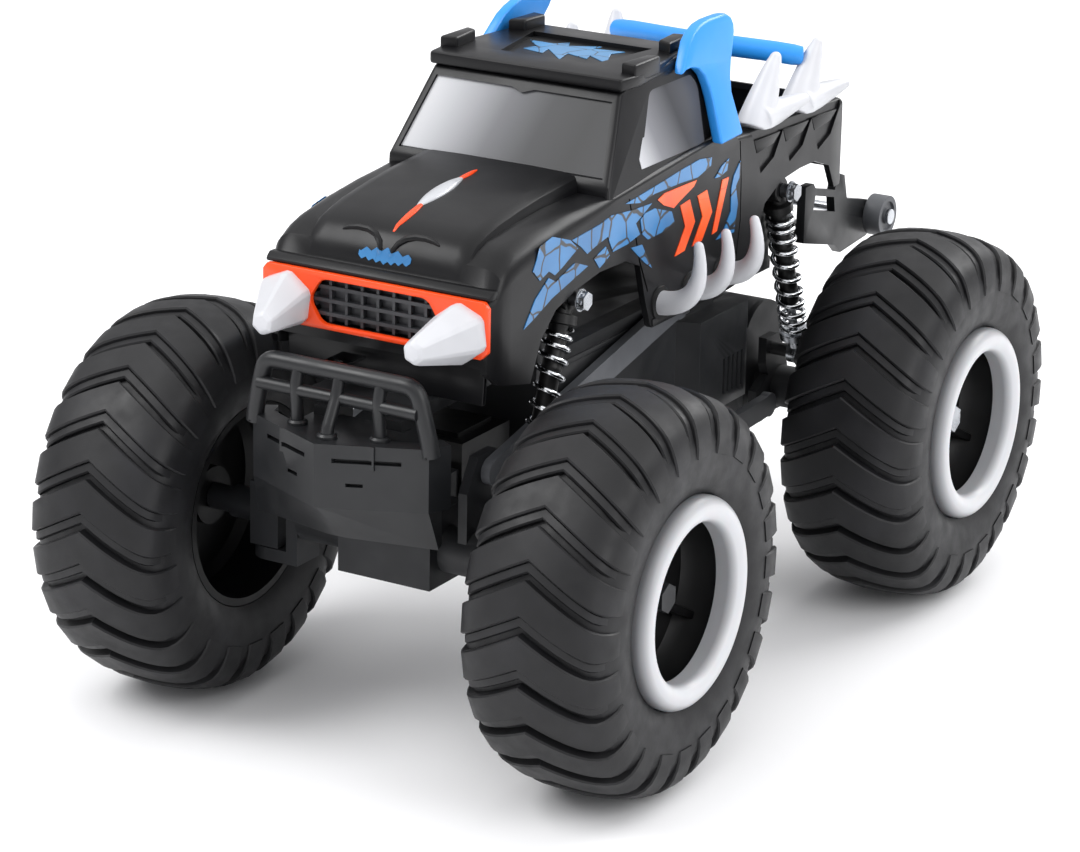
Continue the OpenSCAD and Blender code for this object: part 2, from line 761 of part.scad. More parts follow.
module body_shell() {
    color("#2b2b2d") difference() {
        union() {
            lower_body();
            cab();
        }
        shell_hollow();
        plan_plate(148, 170, tray);
        front_plate(-46.5, -20, windshield_front);
        front_plate(16, 50, rear_glass_front);
        side_plate(-60, 60, window_side);
        // recess in the roof for the badge
        plan_plate(189.2, 196, [[-16, -19], [16, -19], [21, 9], [-21, 9]]);
        // opening behind the grille
        front_plate(-116, -106, whole([[19, 140.6], [22.5, 134], [19, 127.6]]));
        both_sides() {
            for (k = [0:2]) side_plate(side_x - 0.9, side_x + 1,
                [for (p = louver) p + louver_start + [k * louver_pitch, -0.4 * k]]);
            // door seams
            side_plate(side_x - 0.5, side_x + 1, [[-35.6, 156], [-34.6, 156], [-27, 134.6],
                [-22, 124.5], [-22.6, 124], [-28, 134.4]]);
            side_plate(side_x - 0.5, side_x + 1, [[34.4, 159], [35.2, 159], [36.8, 146],
                [37.1, 133], [35, 121], [34.2, 121], [36.3, 133], [36, 146]]);
            for (p = side_tusk_roots) x_bar(p[2], side_x - shell_t - 1, side_x + 1, [p[0], p[1]]);
            // holes for the bed spikes' pegs
            for (y = spike_y) z_bar(1.5, 150, 165, [spike_x, y]);
        }
    }
}

module windshield() {
    color("#9a9ca4") intersection() {
        side_plate(-40, 40, windshield_slab);
        front_plate(-60, -20, windshield_front);
    }
}

module side_glass() {
    inset = 0.5;
    intersection() {
        front_plate(-60, 50, [[cab_half_w(158) - inset, 158], [cab_half_w(190) - inset, 190],
            [cab_half_w(190) - inset - glass_t, 190], [cab_half_w(158) - inset - glass_t, 158]]);
        side_plate(20, 50, window_side);
    }
}

module cab_windows() {
    color("#9a9ca4") {
        both_sides() side_glass();
        intersection() {
            side_plate(-40, 40, rear_glass_slab);
            front_plate(10, 50, rear_glass_front);
        }
    }
}

module hood_spear() {
    lift = 1.2;
    color("#f5601c") intersection() {
        side_plate(-4, 4, concat([for (p = hood_line) p + [0, lift]],
            [for (i = [len(hood_line) - 1:-1:0]) hood_line[i]]));
        plan_plate(140, 180, whole([[0.2, -102.5], [1.8, -91], [2.6, -87], [2.6, -69], [1, -64.5], [0.2, -58.5]]));
    }
}

// ---------- front face ----------

grille_window = [[18, 141], [22.3, 134.2], [18, 127.6]];

module grille_frame() {
    color("#f5601c") difference() {
        front_plate(-114, -112.02, whole([[37, 143], [38.4, 141], [38.4, 128], [36, 126]]));
        front_plate(-116, -110, whole(grille_window));
        both_sides() translate([29.6, -109, 133.2]) rotate([90, 0, 0]) cylinder(r = 7.4, h = 8);
    }
}

module grille() {
    color("#3f4044") intersection() {
        union() {
            front_plate(-109.6, -108.9, whole([[19, 140.5], [22.2, 134], [19, 127.7]]));
            for (k = [-4:4]) translate([k * 5.4, -110.4, 134]) cube([0.9, 2.2, 16], center = true);
            for (z = [130.2, 134.2, 138.2]) translate([0, -110.6, z]) cube([48, 2.6, 1.1], center = true);
        }
        front_plate(-116, -108, whole([[18.9, 140.5], [22.2, 134], [18.9, 127.7]]));
    }
}

module headlight_tusks() {
    color("#f2f2f4") both_sides() {
        translate([29.6, -112.1, 133.2]) rotate([90, 0, 0]) cylinder(r = 7, h = 3);
        hull() {
            translate([29.8, -114.1, 133]) rotate([90, 0, 0]) cylinder(r = 8.2, h = 1.5, $fn = 32);
            translate([29, -120, 132.6]) rotate([90, 22.5, 6]) cylinder(r = 6.8, h = 3, $fn = 8);
            translate([25.4, -131.6, 131.2]) sphere(r = 1.8, $fn = 16);
        }
    }
}

// ---------- horns, bar, spikes and tusks ----------

// The roof horn seen from the side, (y, z); its stem stands behind the door window
horn_side = [[15.6, 161.6], [29.8, 162.4], [28.6, 175.8], [31.4, 184.6], [36.6, 193.3], [36.1, 197.3],
    [30.3, 199.2], [21.3, 199.2], [11.5, 197], [5.5, 192], [0.4, 185.4], [7, 186.8], [13.4, 184.2], [16.2, 175.2]];

module roof_horns() {
    // the foot stands clear of the door, and the blade follows the lean of the cab
    color("#49a6f0") both_sides() intersection() {
        side_plate(20, 50, horn_side);
        front_plate(-10, 50, [[side_x + 0.05, 158], [side_x + 4.4, 158], [cab_half_w(202) + 4.6, 202],
            [cab_half_w(202) + 0.05, 202], [cab_half_w(165.4) + 0.05, 165.4], [side_x + 0.05, 165]]);
    }
}

bar_end = [31, 84, 176];
bar_mid = [0, 72.5, 178.5];

module roll_bar() {
    color("#49a6f0") {
        both_sides() {
            bar(bar_mid, bar_end, 3.4);
            translate(bar_end) sphere(r = 3.5);
        }
        translate(bar_mid) sphere(r = 3.6);
        z_bar(3, 148, 178, [bar_mid[0], bar_mid[1]]);
        z_bar(6, 148, 149.6, [bar_mid[0], bar_mid[1]]);
    }
}

spike_x = 36;
spike_y = [50, 79];
spike_seat_z = 159.9;

// A bed spike is one claw with an upright prong and a prong that points back and out
module bed_spike(y) {
    z0 = spike_seat_z - (y - 42) * 0.025 + 0.25;
    steps = 6;
    upright = bend([spike_x - 0.4, y, z0], [spike_x - 1, y + 1, z0 + 13], [37.8, y + 12, z0 + 22.5], steps);
    low = bend([spike_x - 0.2, y + 3, z0 + 1.2], [spike_x + 2, y + 12, z0 + 3], [43.5, y + 24, z0 + 5.5], steps);
    difference() {
        intersection() {
            union() {
                sweep(upright, taper(6.4, 0.9, steps), 10, [1, 0, 0]);
                sweep(low, taper(4.6, 0.8, steps), 10, [0, 0, 1]);
            }
            block([20, y - 12, z0], [60, y + 40, z0 + 40]);
        }
        // a scoop that clears the end of the roll bar
        translate(bar_end) sphere(r = 3.8);
        bar(bar_mid, bar_end, 3.7);
    }
    z_bar(1.45, z0 - 3, z0 + 2, [spike_x, y]);
}

module bed_spikes() {
    color("#f2f2f4") both_sides() for (y = spike_y) bed_spike(y);
}

// Roots of the side tusks: y, z and the radius of the hole in the shell
side_tusk_roots = [[-14.4, 118.8, 3.9], [4.6, 118.8, 3.9], [24.8, 118.8, 3.9]];

module side_tusk(root) {
    steps = 6;
    tip_y = root[0] * 0.92 - 1;
    path = concat([[36.5, root[0], root[1]]],
        bend([40, root[0], root[1]], [53.6, root[0] - 0.5, root[1] + 1.2], [51.6, tip_y, 139], steps));
    sweep(path, concat([3.85], taper(3.85, 1.5, steps)), 10, [0, 1, 0]);
}

module side_tusks() {
    color("#f2f2f4") both_sides() for (root = side_tusk_roots) side_tusk(root);
}

// ---------- stickers ----------

blue_shards = [
    [[-91, 147], [-89, 150], [-87, 153.5], [-80, 154.8], [-70, 151.5], [-65.5, 148], [-74.5, 144.3],
        [-78.5, 143], [-82, 145], [-87, 143.4]],
    [[-95.5, 131], [-89.5, 132.9], [-80, 136.4], [-69.7, 138.8], [-59.4, 141.2], [-67, 144],
        [-77.9, 140.9], [-82, 143], [-89.5, 138.3]],
    [[-69, 151.2], [-63.8, 148], [-60, 145], [-55, 146.2], [-48, 147.4], [-44.7, 142], [-36, 142.3],
        [-28.5, 143.6], [-31.2, 147.6], [-21.6, 151.6], [-33.8, 152.2], [-46, 153.4], [-53, 152.2]],
    [[-37.6, 155], [-29.1, 153.4], [-20, 154.2], [-4.3, 154], [7.1, 153.4], [15.4, 155.3],
        [15.8, 157.8], [8, 158.8], [-3.3, 158], [-17, 156.7]],
    [[-28.4, 148], [-27, 143.2], [-23.5, 140.8], [-13.6, 141], [-7, 142.4], [-9, 146.2], [-19.7, 149.6],
        [-25.8, 149.4]],
    [[18.4, 150.6], [21.7, 150.4], [26.2, 151.4], [27.2, 155], [22.7, 153.6]],
    [[20.4, 130.4], [32.3, 130.2], [34.2, 139], [32.4, 145], [35.2, 148], [35, 152.6], [30.9, 148.6],
        [29.5, 144.8], [29.6, 137.6], [25.6, 132.7]],
    [[-56, 142.6], [-52.6, 138.9], [-49, 140.2], [-46.6, 141.4], [-49, 144.6]],
    [[-33.8, 140.6], [-25.6, 134.3], [-20.5, 131.2], [-27, 140]]
];
orange_shard = [[-17.9, 151.8], [-14.1, 149.3], [-7.7, 147], [-5.2, 148], [4.7, 151], [6.5, 152.6], [-1.1, 152.8],
    [-13.7, 153]];
chevron = [[0, 0], [6.2, 0.4], [12.4, 8.2], [8.6, 16], [2.6, 15.4], [6.2, 8]];
chevron_at = [[-6.2, 131.4], [4.8, 132]];
slash = [[17.6, 132.8], [20.8, 133.2], [27.6, 149], [23.4, 149]];

module sticker(outline) {
    side_plate(side_x, side_x + sticker_t, outline);
}

module side_decals_blue() {
    color("#2f86c4") both_sides() for (outline = blue_shards) sticker(outline);
}

module side_decals_orange() {
    color("#f5601c") both_sides() {
        sticker(orange_shard);
        sticker(slash);
        for (at = chevron_at) sticker([for (p = chevron) p + at]);
    }
}

// A bolt of lightning on the roof and a small zigzag on the nose
// The jagged flash on the roof, which fills most of its recess
roof_bolt = [[-18.4, 2.6], [-12.6, -3.6], [-14.4, -8.2], [-6.4, -10.6], [-7.6, -4.6], [2.2, -14.8],
    [0.2, -6.4], [8.6, -9.4], [7.4, -5.2], [16.4, -11.2], [11.4, 0.6], [13.8, 5.2], [3.4, 3.4],
    [4.6, 7.4], [-4.4, 2.2], [-6.4, 6.2], [-9.8, 2.4]];

module emblems() {
    zigzag = [for (i = [0:6]) [-9 + 3 * i, i % 2 == 0 ? 0 : 2.6]];
    color("#6db3e0") {
        plan_plate(189.2, 189.2 + sticker_t, roof_bolt);
        translate([0, -107.4, 148.7]) rotate([67, 0, 0])
            linear_extrude(sticker_t) polygon(concat(zigzag,
                [for (i = [6:-1:0]) zigzag[i] + [0.2, -1.4]]));
    }
}

// ---------- bumper and bull bar ----------

// Slots in each half of the bumper's face: place along it, length, height above the ground, width
bumper_slots = [[5, 20, 97.6, 1.3], [9, 5, 90.6, 1.1], [25, 4, 88, 7]];
bumper_sweep = 23.9;
bumper_plan = [[0, -144.3], [30, -131], [33, -124], [28, -121], [26, -126], [0, -138]];

module front_bumper() {
    color("#39393d") difference() {
        union() {
            plan_plate(84, 103, concat(bumper_plan, [for (i = [len(bumper_plan) - 2:-1:1])
                [-bumper_plan[i][0], bumper_plan[i][1]]]));
            hull() {
                plan_plate(83, 84, whole([[0.5, -144], [30, -131], [30, -124]]));
                plan_plate(72, 73, whole([[3, -133], [31, -127], [29, -122]]));
            }
            block([-16, -138, 96], [16, -118, 103]);
            both_sides() block([8, -122, 96], [15, -112, deck_z[0]]);
        }
        both_sides() for (slot = bumper_slots)
            translate([0, bumper_plan[0][1] - 1, 0]) rotate([0, 0, bumper_sweep])
                translate([slot[0], 0, slot[2]]) cube([slot[1], 3, slot[3]]);
    }
}

module bull_bar() {
    top = [25.3, -130.7, 120.7];
    corner = [30, -130, 104];
    mid = [26.6, -132.2, 113.3];
    color("#3f4045") {
        bar([-top[0], top[1], top[2]], top, 2.6);
        bar([-mid[0], mid[1], mid[2]], mid, 1.9);
        both_sides() {
            translate(top) sphere(r = 2.6);
            bar(corner, top, 2.6);
            bar([30, -130, 103], [30, -130, 105], 2.9);
        }
        for (x = [-14, 0, 14]) {
            z_bar(2.4, 103, 105.4, [x, -137.6 + abs(x) * 0.42]);
            bar([x, -137.6 + abs(x) * 0.42, 104.2], [x, top[1], top[2]], 1.9);
        }
    }
}

// A sprung clip that holds the nose of the shell down, seen on the right
module bumper_clip() {
    color("#e4e6e8") translate([-9, -113.5, 119]) {
        block([-4, -5.5, -0.9], [4, 3.6, 0.1]);
        block([-4, -6.4, -4.6], [4, -5.5, 0.1]);
        block([-4, -5.6, -4.6], [1.4, -1.6, -3.8]);
    }
}

// ---------- wheelie bar ----------

wheelie_side = [[97, 110], [97.2, 129], [103, 129], [104.6, 127], [119, 123.4], [121, 128.8], [126, 127],
    [128.5, 118.4], [144, 114.6], [151, 112], [151, 105], [144.6, 101.8], [125, 100.4], [120.8, 104]];
wheelie_gap = [[103.4, 119.8], [104.6, 124.6], [118.6, 121], [119.6, 115.8]];

module wheelie_frame() {
    color("#47484d") {
        both_sides() difference() {
            side_plate(28.5, 31.5, wheelie_side);
            side_plate(20, 40, wheelie_gap);
            x_bar(pin_r + run_gap, 20, 40, roller_at);
        }
        x_bar(3, -29, 29, [125, 106]);
        block([-29, 98, deck_z[1]], [29, 103, 116]);
        side_plate(-8, 8, [[98, deck_z[1]], [104.5, deck_z[1]], [126, 104], [126, 108], [103, 116], [98, 116]]);
    }
}

module wheelie_axle() {
    color("#b9bcc0") {
        x_bar(pin_r, -39, 39, roller_at);
        both_sides() x_bar(2.6, 38.2, 39.4, roller_at);
    }
}

module wheelie_rollers() {
    color("#8e9095") both_sides() difference() {
        x_bar(roller_r, 32, 38.2, roller_at);
        x_bar(pin_r, 30, 40, roller_at);
        difference() {
            x_bar(5, 37.2, 39, roller_at);
            x_bar(2.6, 37, 39, roller_at);
        }
    }
}

lower_hull();
hull_lid();
lid_seal();
battery_pack();
battery_door();
receiver_board();
power_switch();
chassis_deck();
suspension_bolts();
body_shell();
windshield();
cab_windows();
grille_frame();
grille();
headlight_tusks();
hood_spear();
roof_horns();
roll_bar();
bed_spikes();
side_tusks();
side_decals_blue();
side_decals_orange();
emblems();
front_bumper();
bull_bar();
bumper_clip();
wheelie_frame();
wheelie_axle();
wheelie_rollers();
front_axle_housing();
front_links();
kingpins();
steering_servo();
servo_horn();
tie_rod();
knuckle_left();
knuckle_right();
front_tyre_left();
front_tyre_right();
front_rim_left();
front_rim_right();
front_ring_left();
front_ring_right();
rear_tyres();
rear_rims();
rear_rings();
rear_shaft();
drive_gear();
rear_axle_housing();
gearbox_cover();
rear_links();
drive_motor();
idler_gear();
motor_pinion();
front_shock_bodies();
front_shock_rods();
front_springs();
rear_shock_bodies();
rear_shock_rods();
rear_springs();
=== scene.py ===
# %% [markdown]
# # An amphibious remote control car
# This is a toy truck on four very large tyres. Its mechanics come ready made from the CAD
# part, which is loaded as a fixed frame. This script paints those parts as the real
# materials would look, and models anew the pieces whose shape the eye meets first: tyres,
# shell, horns, tusks, springs and bumper. The front points to -Y and the left side to +X.

# %% Load the frame
import json
import math
import bpy
from mathutils import Matrix, Vector

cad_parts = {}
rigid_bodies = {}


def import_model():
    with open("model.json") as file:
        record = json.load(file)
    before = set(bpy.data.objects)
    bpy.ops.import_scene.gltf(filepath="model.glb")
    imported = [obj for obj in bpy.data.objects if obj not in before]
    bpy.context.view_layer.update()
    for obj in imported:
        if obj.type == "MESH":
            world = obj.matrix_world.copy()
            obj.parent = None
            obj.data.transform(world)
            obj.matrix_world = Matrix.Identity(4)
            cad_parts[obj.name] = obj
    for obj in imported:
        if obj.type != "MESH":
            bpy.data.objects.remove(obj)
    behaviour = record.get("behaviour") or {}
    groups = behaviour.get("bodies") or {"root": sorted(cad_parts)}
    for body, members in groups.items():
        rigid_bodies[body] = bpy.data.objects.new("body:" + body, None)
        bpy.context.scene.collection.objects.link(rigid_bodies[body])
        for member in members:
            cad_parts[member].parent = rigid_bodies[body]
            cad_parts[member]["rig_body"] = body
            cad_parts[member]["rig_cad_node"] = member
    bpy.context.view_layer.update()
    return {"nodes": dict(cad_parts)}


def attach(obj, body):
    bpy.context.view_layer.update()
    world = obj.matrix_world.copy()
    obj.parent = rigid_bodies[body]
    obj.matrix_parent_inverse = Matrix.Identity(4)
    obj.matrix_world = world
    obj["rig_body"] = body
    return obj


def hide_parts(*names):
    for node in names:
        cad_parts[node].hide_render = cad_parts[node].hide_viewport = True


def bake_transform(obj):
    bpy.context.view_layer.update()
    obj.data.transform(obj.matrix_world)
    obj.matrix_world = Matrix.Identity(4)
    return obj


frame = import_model()
nodes = frame["nodes"]
MM = 0.001

# %% [markdown]
# ## Helpers for shapes
# Every new piece starts as one of Blender's primitives, whose points are put in place and
# which is then spun, extruded, cut or bevelled. Three starts cover this toy: a plate cut
# from an outline, a turned part spun from its section, and a loft through several rings,
# which makes tusks, coils and the rounded parts of the body.

# %% Small tools
def deselect():
    if bpy.context.mode != "OBJECT":
        bpy.ops.object.mode_set(mode="OBJECT")
    bpy.ops.object.select_all(action="DESELECT")


def pick(piece):
    """Makes one piece the selected and active one."""
    deselect()
    piece.select_set(True)
    bpy.context.view_layer.objects.active = piece
    return piece


def edit(piece, *steps):
    """Runs edit-mode operators, each given with its settings, on all of a piece."""
    pick(piece)
    bpy.ops.object.mode_set(mode="EDIT")
    bpy.ops.mesh.select_all(action="SELECT")
    for operator, settings in steps:
        operator(**settings)
    bpy.ops.object.mode_set(mode="OBJECT")
    return piece


def start(name, primitive, points, **settings):
    """Adds a primitive and puts its points where they belong, in millimetres."""
    deselect()
    primitive(**settings)
    piece = bpy.context.object
    piece.name = piece.data.name = name
    for vertex, point in zip(piece.data.vertices, points, strict=True):
        vertex.co = Vector(point) * MM
    piece.data.update()
    return piece


MERGE = (bpy.ops.mesh.remove_doubles, {"threshold": 1e-6})
OUTWARD = (bpy.ops.mesh.normals_make_consistent, {"inside": False})
ALL = (bpy.ops.mesh.select_all, {"action": "SELECT"})
AXES = {"x": lambda d, p: (d, p[0], p[1]), "y": lambda d, p: (p[0], d, p[1]),
        "z": lambda d, p: (p[0], p[1], d)}


# %% Plates, turned parts and lofts
def plate(name, outline, low, high, along="x"):
    """A flat outline extruded from low to high along one axis."""
    points = [AXES[along](low, p) for p in outline]
    piece = start(name, bpy.ops.mesh.primitive_circle_add, points,
                  vertices=len(points), fill_type="NGON")
    way = Vector(AXES[along](high - low, (0, 0))) * MM
    return edit(piece, (bpy.ops.mesh.extrude_region_move,
                        {"TRANSFORM_OT_translate": {"value": way}}), ALL, OUTWARD)


def turned(name, section, origin, axis, steps=64):
    """A closed section, as (along, radius) points, spun about an axis through origin."""
    u = Vector(axis).normalized()
    v = u.orthogonal().normalized()
    o = Vector(origin)
    points = [o + u * a + v * r for a, r in section]
    piece = start(name, bpy.ops.mesh.primitive_circle_add, points,
                  vertices=len(points), fill_type="NOTHING")
    edit(piece, (bpy.ops.mesh.spin, {"steps": steps, "angle": math.tau,
                                     "center": o * MM, "axis": u}),
         ALL, MERGE, (bpy.ops.mesh.dissolve_degenerate, {"threshold": 1e-6}), OUTWARD)
    return smooth(piece)


def loft(name, rings):
    """A skin through rings of points, closed at both ends."""
    rows, columns = len(rings), len(rings[0])
    wrapped = [list(r) + [r[0]] for r in rings]
    points = [p for ring in wrapped for p in ring]
    piece = start(name, bpy.ops.mesh.primitive_grid_add, points,
                  x_subdivisions=columns, y_subdivisions=rows - 1)
    edit(piece, MERGE, (bpy.ops.mesh.select_all, {"action": "DESELECT"}),
         (bpy.ops.mesh.select_non_manifold, {}), (bpy.ops.mesh.edge_face_add, {}),
         ALL, OUTWARD)
    return piece


def smooth(piece, angle=32):
    pick(piece)
    bpy.ops.object.shade_smooth_by_angle(angle=math.radians(angle))
    return piece


# %% Bevels and cuts
def modify(piece, kind, **settings):
    """Adds a modifier and applies it."""
    pick(piece)
    bpy.ops.object.modifier_add(type=kind)
    modifier = piece.modifiers[-1]
    for key, value in settings.items():
        setattr(modifier, key, value)
    bpy.ops.object.modifier_apply(modifier=modifier.name)
    return piece


def round_edges(piece, width, segments=3, angle=30):
    modify(piece, "BEVEL", width=width * MM, segments=segments, limit_method="ANGLE",
           angle_limit=math.radians(angle), harden_normals=False)
    return smooth(piece)


def combine(piece, tool, how):
    """A boolean with another piece, which is used up."""
    modify(piece, "BOOLEAN", object=tool, operation=how, solver="EXACT")
    bpy.data.objects.remove(tool)
    return piece


# %% Copies and joins
def copy_of(piece, name, move=(0, 0, 0), flip=False):
    """A copy with its own mesh, moved in millimetres or mirrored to the right side."""
    twin = piece.copy()
    twin.data = piece.data.copy()
    twin.name = twin.data.name = name
    bpy.context.scene.collection.objects.link(twin)
    if flip:
        twin.data.transform(Matrix.Scale(-1, 4, (1, 0, 0)))
        edit(twin, OUTWARD)
    twin.data.transform(Matrix.Translation(Vector(move) * MM))
    return twin


def spun_copies(piece, count):
    """Repeats a piece evenly around the X axis."""
    return edit(piece, (bpy.ops.mesh.spin, {"steps": count - 1, "dupli": True,
                                            "angle": math.tau * (count - 1) / count,
                                            "center": (0, 0, 0), "axis": (1, 0, 0)}))


def weld_together(name, *parts):
    """Joins several solids into one piece."""
    pick(parts[0])
    for part in parts[1:]:
        part.select_set(True)
    if len(parts) > 1:
        bpy.ops.object.join()
    parts[0].name = parts[0].data.name = name
    return parts[0]


# %% Handing a piece over
def give(piece, body, slot_name, finish, *stands_for):
    """The last step of each piece: its body, its finish and the CAD it shows. The slot name is
    not used.
    """
    piece.data.materials.clear()
    piece.data.materials.append(finish)
    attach(piece, body)
    if stands_for:
        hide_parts(*stands_for)
    print(f"{piece.name}: {len(piece.data.polygons)} faces on {body}")
    return piece


def give_pair(left, *rest):
    """Gives the same to a left-hand piece and to its mirror image on the right."""
    right = copy_of(left, left.name.replace("left", "right"), flip=True)
    for piece in (left, right):
        give(piece, *rest)


# %% Outlines and bends
def whole(half):
    """Half an outline and its mirror image."""
    return list(half) + [(-x, z) for x, z in reversed(half)]


def curve_through(a, b, c, steps=10):
    """Points on a smooth bend from a to c, drawn towards b."""
    a, b, c = Vector(a), Vector(b), Vector(c)
    return [(1 - t) ** 2 * a + 2 * t * (1 - t) * b + t * t * c
            for t in (k / steps for k in range(steps + 1))]


# %% [markdown]
# ## Finishes
# Nearly all of the toy is moulded plastic. What sets its parts apart is how glossy the
# mould left them, how fine the grain is, and how they wear. Colours are written as sRGB
# hex, the way a colour card gives them, and turned to linear in one place.

# %% Colours and nodes
def srgb(code):
    parts = [int(code[i:i + 2], 16) / 255 for i in (1, 3, 5)]
    return (*(p / 12.92 if p <= 0.04045 else ((p + 0.055) / 1.055) ** 2.4 for p in parts), 1)


def add(tree, kind, sockets=(), **settings):
    """Adds a node; each socket takes a value or the output of another node."""
    made = tree.nodes.new(kind)
    for key, value in settings.items():
        setattr(made, key, value)
    for key, value in dict(sockets).items():
        if isinstance(value, bpy.types.NodeSocket):
            tree.links.new(value, made.inputs[key])
        else:
            made.inputs[key].default_value = value
    return made


def ramp(tree, value, *stops):
    """A colour ramp over a value: each stop is a place and a hex colour."""
    made = add(tree, "ShaderNodeValToRGB", {"Fac": value})
    elements = made.color_ramp.elements
    while len(elements) < len(stops):
        elements.new(0.5)
    for element, (place, code) in zip(elements, stops):
        element.position = place
        element.color = srgb(code)
    return made.outputs["Color"]


def per_mm(size):
    """The scale of a pattern whose features are size millimetres wide."""
    return 1000 / size


# %% A material and its patterns
def finish_of(name, roughness, **sockets):
    """A new material and what its recipe needs: tree, shader and the point in space."""
    material = bpy.data.materials.new(name)
    material.use_nodes = True
    tree = material.node_tree
    shader = tree.nodes["Principled BSDF"]
    shader.inputs["Roughness"].default_value = roughness
    for key, value in sockets.items():
        shader.inputs[key.replace("_", " ")].default_value = value
    place = add(tree, "ShaderNodeTexCoord").outputs["Object"]
    return material, tree, shader, place


def noise(tree, place, size, detail=3.0, **more):
    return add(tree, "ShaderNodeTexNoise",
               {"Vector": place, "Scale": per_mm(size), "Detail": detail, **more}).outputs["Fac"]


def grain(tree, shader, height, depth, strength=0.5):
    """Raises the surface by depth millimetres where height is 1."""
    bump = add(tree, "ShaderNodeBump", {"Height": height, "Distance": depth * MM,
                                        "Strength": strength})
    tree.links.new(bump.outputs["Normal"], shader.inputs["Normal"])


def vary(tree, shader, height, low, high):
    """Lets roughness wander between low and high."""
    made = add(tree, "ShaderNodeMapRange", {"Value": height, "From Min": 0.3, "From Max": 0.7,
                                            "To Min": low, "To Max": high})
    tree.links.new(made.outputs["Result"], shader.inputs["Roughness"])


# %% [markdown]
# ### Moulded plastics
# ABS and nylon come out of the mould with a spark-eroded grain of about a tenth of a
# millimetre. It is too fine to show here, so it is drawn at 0.5 mm. The colour wanders by
# a few per cent, as pigment does, and handling leaves broad patches a little glossier.

# %% A moulded plastic
def moulded(name, dark, light, rough, grain_mm=0.5, depth=0.012, spread=0.07, **sockets):
    material, tree, shader, place = finish_of(name, rough, IOR=1.5, **sockets)
    broad = noise(tree, place, 28)
    tree.links.new(ramp(tree, broad, (0.36, dark), (0.66, light)), shader.inputs["Base Color"])
    vary(tree, shader, noise(tree, place, 9, 4), rough - spread, rough + spread)
    grain(tree, shader, noise(tree, place, grain_mm, 2), depth)
    return material


black_abs = moulded("black ABS, fine grain", "#070708", "#0d0d0e", 0.42, Specular_IOR_Level=0.35)
hull_abs = moulded("dark grey ABS, spark-eroded", "#17181a", "#1f2022", 0.46, depth=0.02,
                   Specular_IOR_Level=0.4)
bumper_abs = moulded("dark grey ABS, semi-gloss", "#151618", "#1c1d1f", 0.38,
                     Specular_IOR_Level=0.4)
axle_nylon = moulded("glass-filled nylon", "#1b1c1e", "#252629", 0.55, depth=0.02,
                     Specular_IOR_Level=0.4)
link_nylon = moulded("grey nylon", "#4c4e52", "#5f6165", 0.5)
white_abs = moulded("white ABS, gloss", "#bebfc3", "#cbccd0", 0.36, depth=0.006,
                    spread=0.03)
blue_abs = moulded("sky blue ABS, gloss", "#2489de", "#2b90e4", 0.34, depth=0.006,
                   spread=0.03)
orange_abs = moulded("orange ABS, gloss", "#f0450e", "#f64c11", 0.34, depth=0.006,
                     spread=0.03)
grille_abs = moulded("charcoal ABS", "#2a2b2e", "#393a3e", 0.45)
gear_pom = moulded("natural acetal", "#d3cebd", "#e2ddcd", 0.4, depth=0.004)
red_abs = moulded("red ABS", "#b32a20", "#c93a2c", 0.35)
seal_silicone = moulded("red silicone rubber", "#8c2c22", "#a13a2c", 0.6)
battery_film = moulded("blue shrink film", "#1d4e8c", "#2a62a6", 0.22, grain_mm=3)
circuit_board = moulded("green solder mask", "#14562c", "#1e6d3a", 0.35)
print("moulded finishes ready")

# %% [markdown]
# ### The painted shell
# The shell is ABS sprayed in satin black. Spray leaves a very slight waviness that softens
# reflections, and a thin clear coat. Its gloss wanders a little from patch to patch.

# %% Satin paint
shell_paint, tree, shader, place = finish_of("satin black spray on ABS", 0.36, IOR=1.5,
                                             Coat_Weight=0.06, Coat_Roughness=0.2,
                                             Specular_IOR_Level=0.22)
tree.links.new(ramp(tree, noise(tree, place, 60, 2), (0.35, "#0b0b0d"), (0.7, "#111113")),
               shader.inputs["Base Color"])
vary(tree, shader, noise(tree, place, 14, 5), 0.3, 0.4)
grain(tree, shader, noise(tree, place, 2.2, 2), 0.01, 0.35)
print("made", shell_paint.name)

# %% [markdown]
# ### Tyre rubber
# A soft PVC moulding, matt. Driving over carpet leaves paler scuffs in patches some 16 mm
# wide, which a noise draws. The grooves between the blocks are darkened by the light alone.

# %% Rubber
tyre_rubber, tree, shader, place = finish_of("moulded soft PVC, matt", 0.5, IOR=1.45,
                                             Specular_IOR_Level=0.4)
patches = noise(tree, place, 16, 5)
tree.links.new(ramp(tree, patches, (0.3, "#0e0e10"), (0.55, "#151517"), (0.75, "#1d1d20")),
               shader.inputs["Base Color"])
vary(tree, shader, noise(tree, place, 6, 5), 0.42, 0.58)
grain(tree, shader, noise(tree, place, 0.7, 4), 0.03, 0.5)
print("made", tyre_rubber.name)
